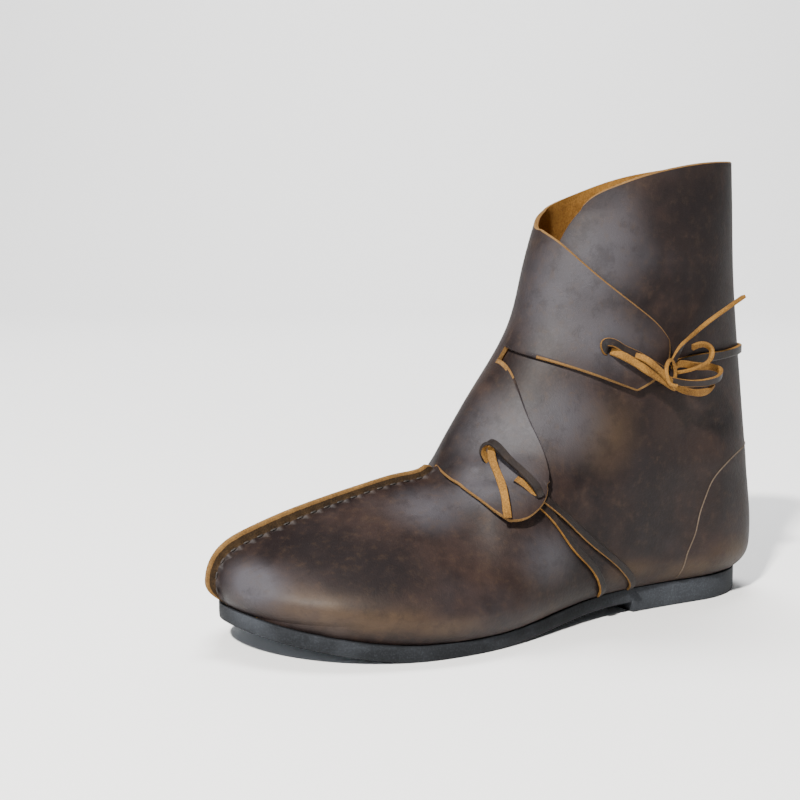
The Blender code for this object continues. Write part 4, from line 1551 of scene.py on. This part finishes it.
@dataclass
class SolePlate:
    """Plate with the sole's plan: flat top and bottom, and walls with eased edges.

    Attributes:
        margin: How far it stays inside the sole's plan.
        thickness: Its thickness on top of the sole, or none for the sole itself.
        edge: Radius of its lower edge.
    """

    form: BootForm
    name: str
    node: str
    margin: float
    thickness: float | None
    edge: float
    top_edge: float = 0.4
    edge_points: int = 4
    rows: int = 240
    breast_rows: int = 8
    breast_reach: float = 0.2
    across: int = 18
    least_half: float = 0.5
    most_inset: float = 0.9

    def places(self) -> Array:
        """Places along the plate, closer together at its round ends and at the heel breast.

        Returns:
            Rising places.
        """
        form = self.form
        toe, heel = form.sole_toe_y + self.margin, form.sole_heel_y - self.margin
        even = (toe + heel) / 2 - (heel - toe) / 2 * np.cos(np.linspace(0, np.pi, self.rows))
        share = np.linspace(-self.breast_reach, 1 + self.breast_reach, self.breast_rows)
        return np.unique(np.concatenate([even, form.heel_breast_y + form.breast_slope * share]))

    def heights(self, y: Array) -> tuple[Array, Array]:
        """Bottom and top of the plate.

        Args:
            y: Places along the foot.

        Returns:
            Lower and upper heights.
        """
        seat = self.form.seat_z(y)
        if self.thickness is None:
            return self.form.floor_z(y), seat
        return seat + self.form.gap, seat + self.form.gap + self.thickness

    def build(self, finish: Material) -> Piece:
        """Makes the plate: a ring of points round each cross-section, carried from toe to heel.

        Args:
            finish: The plate's material.

        Returns:
            The plate's object.
        """
        form = self.form
        y = self.places()
        low, high = self.heights(y)
        ends = rounded(y - y[0], form.sole_toe_round) * rounded(y[-1] - y, form.sole_heel_round)
        half = {side: np.maximum((form.plan_half(y, side) - self.margin) * ends, self.least_half)
                for side in Side}
        turn = np.linspace(0, np.pi / 2, self.edge_points)
        share = np.linspace(-1, 1, self.across + 1)[1:-1]
        inset = np.concatenate([self.top_edge * (1 - np.sin(turn)), self.edge * (1 - np.cos(turn))])
        inset = np.minimum(inset, self.most_inset * self.least_half)
        height = np.concatenate([-self.top_edge * (1 - np.cos(turn)), self.edge * (1 - np.sin(turn))])
        wall_z = np.repeat(np.stack([high, low], axis=1), self.edge_points, axis=1) + height
        lateral = half[Side.LATERAL][:, None] - inset
        medial = -half[Side.MEDIAL][:, None] + inset
        above = np.where(share > 0, share * lateral[:, :1], -share * medial[:, :1])
        under = np.where(share > 0, share * lateral[:, -1:], -share * medial[:, -1:])
        x = np.concatenate([above, lateral, under[:, ::-1], medial[:, ::-1]], axis=1)
        x = x + form.centre_x(y)[:, None]
        flat = np.ones((1, len(share)))
        z = np.concatenate([high[:, None] * flat, wall_z, low[:, None] * flat, wall_z[:, ::-1]], axis=1)
        rings = np.stack([x, np.broadcast_to(y[:, None], x.shape), z], axis=-1)[:, ::-1]
        obj = mesh_object(self.name, rings.reshape(-1, 3), tube_faces(rings), [finish])
        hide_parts(self.node)
        return obj


@dataclass
class CounterLine:
    """Fine raised edge of the heel counter, showing through the outer panel and running to the back.

    Attributes:
        arc: Where the bead's round begins and ends, in half turns.
    """

    form: BootForm
    route: Columns = columns(
        "y z", (75.1, 13.4), (75.9, 17.1), (77, 23.7), (81.9, 33.6), (84.8, 43.7), (88.3, 51.4),
        (91.5, 57.2), (98.6, 63.5), (106.2, 67.3), (118, 70.5), (128, 72))
    radius: float = 0.34
    points: int = 120
    sides: int = 7
    arc: tuple[float, float] = (1.25, -0.25)

    def build(self, finishes: Finishes) -> Piece:
        """Makes the line: a half-round bead carried along the leather.

        Args:
            finishes: Materials of the boot.

        Returns:
            The line's object.
        """
        y, z = through(self.route["y"], self.route["z"], count=self.points).T
        middle = self.form.stand_off(y, z, 0 * y)
        normals = self.form.normal(y, z, Side.LATERAL)
        across = unit(np.cross(normals, np.gradient(middle, axis=0)))
        turn = np.pi * np.linspace(*self.arc, self.sides)[:, None]
        ring = np.cos(turn) * across[:, None] + np.sin(turn) * normals[:, None]
        body = middle[:, None] + self.radius * ring
        obj = mesh_object("counter_line", body.reshape(-1, 3), tube_faces(body), [finishes.counter])
        return obj


class FarEnd(Enum):
    """What is at a strip's far end."""

    BARE = "bare"
    OBJECT = "object"


class Lay(Enum):
    """How a strip lies."""

    LOOSE = "loose"
    TAUT = "taut"


@dataclass
class Strip:
    """Flat leather strip swept along a line.

    Attributes:
        name: Name of the piece.
        nodes: CAD nodes that it stands for.
        width: Width of the strip.
        far_end: What is at its far end; not used.
        lay: How it lies; not used.
        flip: Whether the flesh side faces outwards.
        tan_edges: Whether the edge towards its width's direction, and the other one, are tan; an edge that
            is not takes the grain's colour, as painted shade where it lies in shadow.
        dull: Whether its flesh side and tan edges are as dull as a cut edge.
        waver: Share by which its width wavers.
        taper: Share of its length over which each end narrows to the tip's share of its width.
    """

    name: str
    nodes: tuple[str, ...]
    width: float = 4.4
    thickness: float = 1.6
    far_end: FarEnd = FarEnd.BARE
    lay: Lay = Lay.LOOSE
    flip: bool = False
    tan_edges: tuple[bool, bool] = (True, True)
    dull: bool = False
    waver: float = 0.05
    waver_turn: float = 17.0
    taper: float = 0.0
    taper_from: float = 0.02
    tip_share: float = 0.4
    slot: str = "thong"

    PROFILE = np.array([
        (-0.42, 0.5), (-0.15, 0.5), (0.15, 0.5), (0.42, 0.5), (0.5, 0.28), (0.5, -0.28),
        (0.42, -0.5), (0.15, -0.5), (-0.15, -0.5), (-0.42, -0.5), (-0.5, -0.28), (-0.5, 0.28)])

    def dress(self, quads: int) -> Array:
        """Material slot of each face: grain above, flesh below, and either on the edges and ends.

        Args:
            quads: How many faces the strip has along its line.

        Returns:
            Slots of the faces along the line, then of both ends.
        """
        near, far = self.tan_edges
        round_it = np.repeat([Skin.GRAIN, int(near), Skin.FLESH, int(far)], len(self.PROFILE) // 4)
        return np.append(np.tile(round_it, quads), [int(near or far)] * 2)

    def sweep(self, line: Array, across: Array, face: Array, finishes: Finishes) -> Piece:
        """Makes the strip: a rectangle with eased corners carried along the line.

        Args:
            line: Centre line.
            across: Direction of the width along it.
            face: Direction of the outward side along it.
            finishes: Materials of the boot.

        Returns:
            The strip's object.
        """
        at = np.linspace(0, 1, len(line))
        wide = self.width * (1 + self.waver * np.sin(self.waver_turn * at + len(self.name)))
        if self.taper:
            near = smooth((np.minimum(at, 1 - at) + self.taper_from) / self.taper)
            wide = wide * (self.tip_share + (1 - self.tip_share) * near)
        grain_side = -face if self.flip else face
        u, v = self.PROFILE[:, :1], self.PROFILE[:, 1:]
        body = line[:, None] + wide[:, None, None] * u * across[:, None]
        body = body + self.thickness * v * grain_side[:, None]
        faces = tube_faces(body)
        if np.linalg.det(np.stack([across[0], grain_side[0], line[1] - line[0]])) < 0:
            faces = [corners[::-1] for corners in faces]
        tan = finishes.cut if self.dull else finishes.thong
        obj = mesh_object(self.name, body.reshape(-1, 3), faces, [finishes.thong_grain, tan],
                          self.dress(len(line) - 1))
        if self.nodes:
            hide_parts(*self.nodes)
        path = (line - ORIGIN) * MM
        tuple(path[0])
        return obj


@dataclass
class Thong(Strip):
    """Strip along a route on the boot's outer side.

    Attributes:
        route: Places y and z, the stand off the leather, and the roll in degrees.
        lie: How its width is turned before the roll.
    """

    route: Columns = columns("y z stand roll", (0, 0, 0, 0))
    lie: Lie = Lie.LAID
    spacing: float = 0.7
    least_points: int = 12

    def middle(self, form: BootForm) -> tuple[Array, Array, Array]:
        """Centre line, the leather's normals and the rolls along it.

        Args:
            form: Shape of the boot.

        Returns:
            Points, unit normals and rolls in radians.
        """
        y, z = self.route["y"], self.route["z"]
        knots = form.stand_off(y, z, self.route["stand"])
        steps = np.concatenate([[0], np.cumsum(np.linalg.norm(np.diff(knots, axis=0), axis=1))])
        count = max(int(steps[-1] / self.spacing), self.least_points)
        at = np.linspace(0, steps[-1], count)
        facing = form.normal(y, z, Side.LATERAL)
        facing = unit(np.stack([np.interp(at, steps, facing[:, k]) for k in range(3)], axis=1))
        return through(*knots.T, count=count), facing, np.radians(np.interp(at, steps, self.route["roll"]))

    def build(self, form: BootForm, finishes: Finishes) -> Piece:
        """Sweeps the strip along its route.

        Args:
            form: Shape of the boot.
            finishes: Materials of the boot.

        Returns:
            The strip's object.
        """
        line, facing, roll = self.middle(form)
        tangent = unit(np.gradient(line, axis=0))
        laid = self.lie is Lie.LAID
        aim = np.cross(facing, tangent) if laid else np.broadcast_to(HELD_WIDTH[self.lie], line.shape)
        across = unit(aim - np.sum(aim * tangent, axis=1, keepdims=True) * tangent)
        face = unit(np.cross(tangent, across))
        if laid:
            face = face * np.where(np.sum(face * facing, axis=1, keepdims=True) < 0, -1.0, 1.0)
        turn = roll[:, None]
        turned = np.cos(turn) * across + np.sin(turn) * face
        return self.sweep(line, turned, np.cos(turn) * face - np.sin(turn) * across, finishes)


@dataclass
class LegStrand(Strip):
    """Strip round the back of the leg, which sinks into its slit at the far end.

    Attributes:
        route: Angle round the leg in degrees, height, and stand off the leather.
    """

    route: Columns = columns("turn z stand", (0, 0, 0))
    count: int = 110

    def build(self, form: BootForm, finishes: Finishes) -> Piece:
        """Sweeps the strip round the leg's ellipse, standing off its normal.

        Args:
            form: Shape of the boot.
            finishes: Materials of the boot.

        Returns:
            The strip's object.
        """
        turn, z, stand = through(*self.route.values(), count=self.count).T
        turn = np.radians(turn)
        depth = (form.back_y(z) - form.front_y(z)) / 2
        y = form.turned_y(turn, z)
        x = form.centre_x(y) + form.leg_half(z) * np.sin(turn)
        normals = unit(np.stack([depth * np.sin(turn), -form.leg_half(z) * np.cos(turn), 0 * z], axis=1))
        line = np.stack([x, y, z], axis=1) + stand[:, None] * normals
        across = unit(np.cross(normals, np.gradient(line, axis=0)))
        return self.sweep(line, across, normals, finishes)


def thong(name: str, nodes: tuple[str, ...], width: float, *rows: tuple[float, ...],
          **values: object) -> Thong:
    """Dataclass field that holds a thong.

    Args:
        name: Name of the piece.
        nodes: CAD nodes that it stands for.
        width: Width of the strip.
        rows: Rows y, z, stand and roll of its route.
        values: Its other values.

    Returns:
        The field.
    """
    return field(default_factory=lambda: Thong(
        name, nodes, width, route=table("y z stand roll", *rows), **values))


@dataclass
class ThongSet:
    """Strips of one thong."""

    def build(self, form: BootForm, finishes: Finishes) -> list[Piece]:
        """Makes every strip, in the order of the fields.

        Args:
            form: Shape of the boot.
            finishes: Materials of the boot.

        Returns:
            The strips' objects.
        """
        return [getattr(self, strip.name).build(form, finishes) for strip in fields(self)]


@dataclass
class InstepThong(ThongSet):
    """Thong across the instep: two strands up from the sole's edge, and two ends out of the lower flap."""

    front_strand: Thong = thong(
        "instep_thong_front_strand", ("instep_thong_front",), 3.4,
        (28.2, 11.9, 0.2, 0), (26.2, 15.6, 1.3, 0), (21.3, 22.9, 1.3, 0), (6, 38.6, 1.3, 0),
        (-4.8, 52.1, 1.3, 0), (-8.1, 55.7, 1.3, 0), (-14.5, 62.5, 1.2, 0),
        # The far edge takes the grain's colour: painted shade on the side away from the light.
        thickness=1.3, lay=Lay.TAUT, far_end=FarEnd.OBJECT, tan_edges=(True, False))
    back_strand: Thong = thong(
        "instep_thong_back_strand", ("instep_thong_back",), 3.4,
        (47.2, 12.2, 0.2, 0), (45.2, 16, 1.3, 0), (41.4, 20.1, 1.3, 0), (21.2, 35.9, 1.3, 0),
        (6.9, 47.5, 1.5, 0), (-0.6, 53.4, 2.2, 0), (-6.5, 58, 2.6, 0), (-12, 62.8, 2.4, 0),
        # The far edge takes the grain's colour: painted shade on the side away from the light.
        thickness=1.3, lay=Lay.TAUT, far_end=FarEnd.OBJECT, tan_edges=(True, False), dull=True)
    front_tail: Thong = thong(
        "instep_thong_front_tail", ("instep_thong_front_end",), 3.4,
        (-19.2, 79.6, 1.2, 0), (-19.6, 77.4, 4.0, 0), (-20.4, 74, 5.6, 4), (-21.4, 68, 6.0, -4),
        (-23.2, 61, 6.6, 6), (-25.2, 54.0, 6.8, -6), (-26.2, 50.6, 6.2, 0),
        flip=True, slot="thong_end")
    back_tail: Thong = thong(
        "instep_thong_back_tail", ("instep_thong_back_end",), 3.4,
        (-22.2, 73.6, 1.2, 0), (-21.9, 76.8, 5.6, 0), (-19.4, 79.0, 7.8, 0), (-16.6, 74.4, 8.0, 0),
        (-14.2, 68.4, 7.8, 0), (-12.3, 62.6, 7.7, 0), (-11.2, 59.9, 7.3, 0), (-10.8, 59.0, 6.0, 0),
        (-11.6, 59.8, 4.7, 0), (-13.6, 62.0, 4.4, 0), (-16.4, 65.2, 4.6, 0),
        tan_edges=(False, False), lie=Lie.FOLDED, slot="thong_end")


@dataclass
class AnkleThong(ThongSet):
    """Thong round the ankle: strands out of the flap's slit, knot, bow loop, ends and the strand behind."""

    grain_strand: Thong = thong(
        "ankle_thong_grain_strand", ("ankle_thong_flap",), 3.5,
        (34.0, 119.8, 1.6, 0), (31.8, 121.0, 4.2, 0), (31.4, 123.6, 6.4, 0), (34.2, 123.8, 6.8, 0),
        (38.4, 121.6, 6.2, 0), (45, 118.4, 5.8, 0), (53, 114.0, 5.6, 0), (60.5, 109.4, 5.6, 0))
    flesh_strand: Thong = thong(
        "ankle_thong_flesh_strand", (), 3.4,
        (34.6, 120.2, 3.6, 0), (37.4, 118.6, 5.8, 0), (42.6, 115.4, 6.8, 8), (49.6, 110.8, 7.2, -8),
        (56.4, 106.6, 7.8, 0), (61.4, 104.0, 7.2, 0), (63.6, 103.4, 5.8, 0), flip=True)
    second_strand: Thong = thong(
        "ankle_thong_second_strand", (), 2.9,
        (37, 121.6, 2.6, 0), (42, 118.9, 4.2, 0), (46.4, 117.2, 7.4, 0), (50.4, 114.2, 8.8, 0),
        (55.4, 109.4, 9.4, 0), (59.6, 105.4, 9.0, 0), (62.6, 103.6, 7.0, 0), flip=True)
    knot: Thong = thong(
        "ankle_thong_knot_ring", ("ankle_thong_knot",), 2.7,
        (57.6, 111.4, 5.6, 0), (58.2, 106.2, 6.4, 0), (60.4, 104.8, 7.4, 0), (62.0, 108.4, 8.2, 0),
        (61.4, 113.2, 8.8, 0), (59.2, 115.6, 9.4, 0), (56.8, 113.4, 10.0, 0), (56.0, 109.0, 10.6, 0),
        (57.2, 105.0, 11.2, 0), (59.6, 104.2, 12.0, 0), flip=True, lie=Lie.ON_EDGE, slot="thong_end")
    loop: Thong = thong(
        "ankle_thong_bow_loop", ("ankle_thong_loop",), 3.3,
        (58.4, 106.8, 8.6, 0), (63.2, 105.5, 10.8, 0), (69.8, 104.9, 12.0, 8), (78.4, 105.3, 12.2, 12),
        (85.6, 107.2, 11.2, 12), (88.6, 109.8, 8.6, 0), (85.0, 111.6, 7.0, -8), (78.6, 112.2, 6.6, -14),
        (72.0, 113.2, 6.4, -16), (66.2, 113.8, 6.2, -10), (62.4, 112.6, 6.4, 0),
        lie=Lie.UPRIGHT, far_end=FarEnd.OBJECT, slot="thong_end")
    strip: Thong = thong(
        "ankle_thong_lower_strip", ("ankle_thong_strip",), 3.2,
        (60.6, 104.4, 5.0, 0), (66.0, 102.4, 6.4, 10), (72.4, 100.8, 6.6, 14), (79, 100.1, 6.0, 14),
        (85.6, 100.7, 4.6, 10), (91.6, 102.6, 2.6, 0),
        flip=True, lie=Lie.UPRIGHT, taper=0.35, slot="thong_end")
    curl: Thong = thong(
        "ankle_thong_hook", ("ankle_thong_curl",), 2.8,
        (64.4, 109.8, 5.0, 0), (70.6, 110.8, 7.4, 0), (76.6, 113.2, 10.4, 0), (80.6, 116.4, 11.0, 8),
        (81.4, 119.8, 10.4, 20), (78.2, 122.3, 9.8, 38), (71.8, 121.2, 9.0, 50),
        lie=Lie.ON_EDGE, slot="thong_end")
    straight_end: Thong = thong(
        "ankle_thong_straight_end", ("ankle_thong_end",), 2.6,
        (60.8, 113.0, 7.4, -80), (64.4, 117.6, 6.8, -60), (68.8, 122.2, 5.6, -20), (74.2, 126.4, 5.8, 8),
        (81.9, 131.9, 6.9, 10), (90.9, 138, 9.5, 10), (100.2, 143.5, 12.2, 14),
        lie=Lie.ON_EDGE, slot="thong_end")
    back_strand: LegStrand = field(default_factory=lambda: LegStrand(
        "ankle_thong_back_strand", ("ankle_thong_back",), 4.0, far_end=FarEnd.OBJECT, lay=Lay.TAUT,
        tan_edges=(True, False), route=table(
            "turn z stand", (92, 113.6, 2.6), (100, 115.0, 1.4), (118, 116.1, 1.3), (138, 117.2, 1.3),
            (160, 117.6, 1.3), (175, 117.5, 1.1), (185, 117.4, -1.8))))


@dataclass(frozen=True)
class Lamp:
    """Square area light.

    Attributes:
        name: Name of the light.
        place: Where it hangs, in metres.
        size: Side of the square.
        power: Power in watts.
        colour: Its colour.
        aim: Where it points.
        in_gloss: Whether it shows in glossy reflections.
    """

    name: str
    place: tuple[float, float, float]
    size: float
    power: float
    colour: Colour = (1.0, 1.0, 1.0)
    aim: tuple[float, float, float] = (0.0, 0.0, 0.09)
    in_gloss: bool = True

    def build(self) -> None:
        """Hangs the light and turns it to its aim."""
        lamp = bpy.data.lights.new(self.name, "AREA")
        lamp.size = self.size
        lamp.energy = self.power
        lamp.color = self.colour
        obj = bpy.data.objects.new(self.name, lamp)
        away = np.array(self.aim) - np.array(self.place)
        obj.location = self.place
        obj.rotation_euler = (math.atan2(math.hypot(away[0], away[1]), -away[2]), 0.0,
                              math.atan2(-away[0], away[1]))
        obj.visible_glossy = self.in_gloss
        bpy.context.scene.collection.objects.link(obj)


@dataclass
class Studio:
    """Camera at the photograph's angle, soft lights and a pale floor."""

    camera_place: tuple[float, float, float] = (0.51878, -0.33830, 0.16822)
    camera_turn: float = 61.178
    camera_dip: float = 6.501
    focal_pixels: float = 1375.6
    image_pixels: float = 800.0
    sensor: float = 36.0
    clip_start: float = 0.01
    lamps: tuple[Lamp, ...] = (
        Lamp("key", (0.95, -1.25, 1.60), 0.14, 140.0, (1.0, 0.97, 0.92)),
        Lamp("front", (0.2, -1.9, 0.6), 0.9, 10.0, (0.80, 0.89, 1.0)),
        Lamp("top", (-0.3, 0.4, 2.2), 1.6, 5.0, (0.96, 0.98, 1.0), in_gloss=False),
        Lamp("backdrop", (-1.2, 0.66, 3.4), 1.6, 260.0, aim=(-2.6, 1.43, 0.6), in_gloss=False),
    )
    world: Colour = (0.94, 0.96, 1.0)
    world_strength: float = 0.15
    floor_front: float = -7.0
    floor_back: float = 2.6
    floor_bend: float = 1.2
    bend_points: int = 25
    floor_top: float = 3.6
    floor_half: float = 6.0

    def build(self) -> None:
        """Makes the camera, the lights, the sky and the floor."""
        lens = bpy.data.cameras.new("camera")
        lens.sensor_width = self.sensor
        lens.lens = self.focal_pixels * self.sensor / self.image_pixels
        lens.clip_start = self.clip_start
        camera = bpy.data.objects.new("camera", lens)
        camera.location = self.camera_place
        camera.rotation_euler = (math.radians(90 - self.camera_dip), 0.0, math.radians(self.camera_turn))
        bpy.context.scene.collection.objects.link(camera)
        bpy.context.scene.camera = camera
        for lamp in self.lamps:
            lamp.build()
        world = bpy.data.worlds.new("studio")
        world.use_nodes = True
        sky = world.node_tree.nodes["Background"]
        sky.inputs["Color"].default_value = (*self.world, 1.0)
        sky.inputs["Strength"].default_value = self.world_strength
        bpy.context.scene.world = world
        self.floor()

    def floor(self) -> None:
        """Makes the floor: a flat run that bends up in a quarter circle behind the boot."""
        turn = np.linspace(0, np.pi / 2, self.bend_points)
        along = np.concatenate([[self.floor_front], self.floor_back + self.floor_bend * np.sin(turn),
                                [self.floor_back + self.floor_bend]])
        height = np.concatenate([[0], self.floor_bend * (1 - np.cos(turn)), [self.floor_top]])
        heading = math.radians(self.camera_turn)
        away = np.array([-math.sin(heading), math.cos(heading), 0.0])
        aside = np.array([math.cos(heading), math.sin(heading), 0.0])
        line = along[:, None] * away + height[:, None] * np.array([0, 0, 1.0])
        points = np.concatenate([line - self.floor_half * aside, line + self.floor_half * aside])
        first = np.arange(len(line) - 1)
        faces = np.stack([first, first + len(line), first + len(line) + 1, first + 1], axis=1).tolist()
        mesh = bpy.data.meshes.new("floor")
        mesh.from_pydata(points, [], faces)
        mesh.materials.append(PaleFloor().material())
        mesh.shade_smooth()
        floor = bpy.data.objects.new("floor", mesh)
        bpy.context.scene.collection.objects.link(floor)


def main() -> None:
    """Builds the studio and the boot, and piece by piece."""
    logging.basicConfig(level=logging.INFO)
    form = BootForm()
    Studio().build()
    finishes = Finishes()
    InstepThong().build(form, finishes)
    AnkleThong().build(form, finishes)
    Upper(form).build(finishes)
    VampSeam(form).build(finishes)
    CounterLine(form).build(finishes)
    outsole = SolePlate(form, "outsole_rubber", "outsole", margin=0.0, thickness=None, edge=1.6)
    insole = SolePlate(form, "insole_leather", "insole", margin=8.5, thickness=2.5, edge=0.4)
    outsole.build(finishes.rubber)
    insole.build(finishes.insole)


if __name__ == "__main__":
    main()
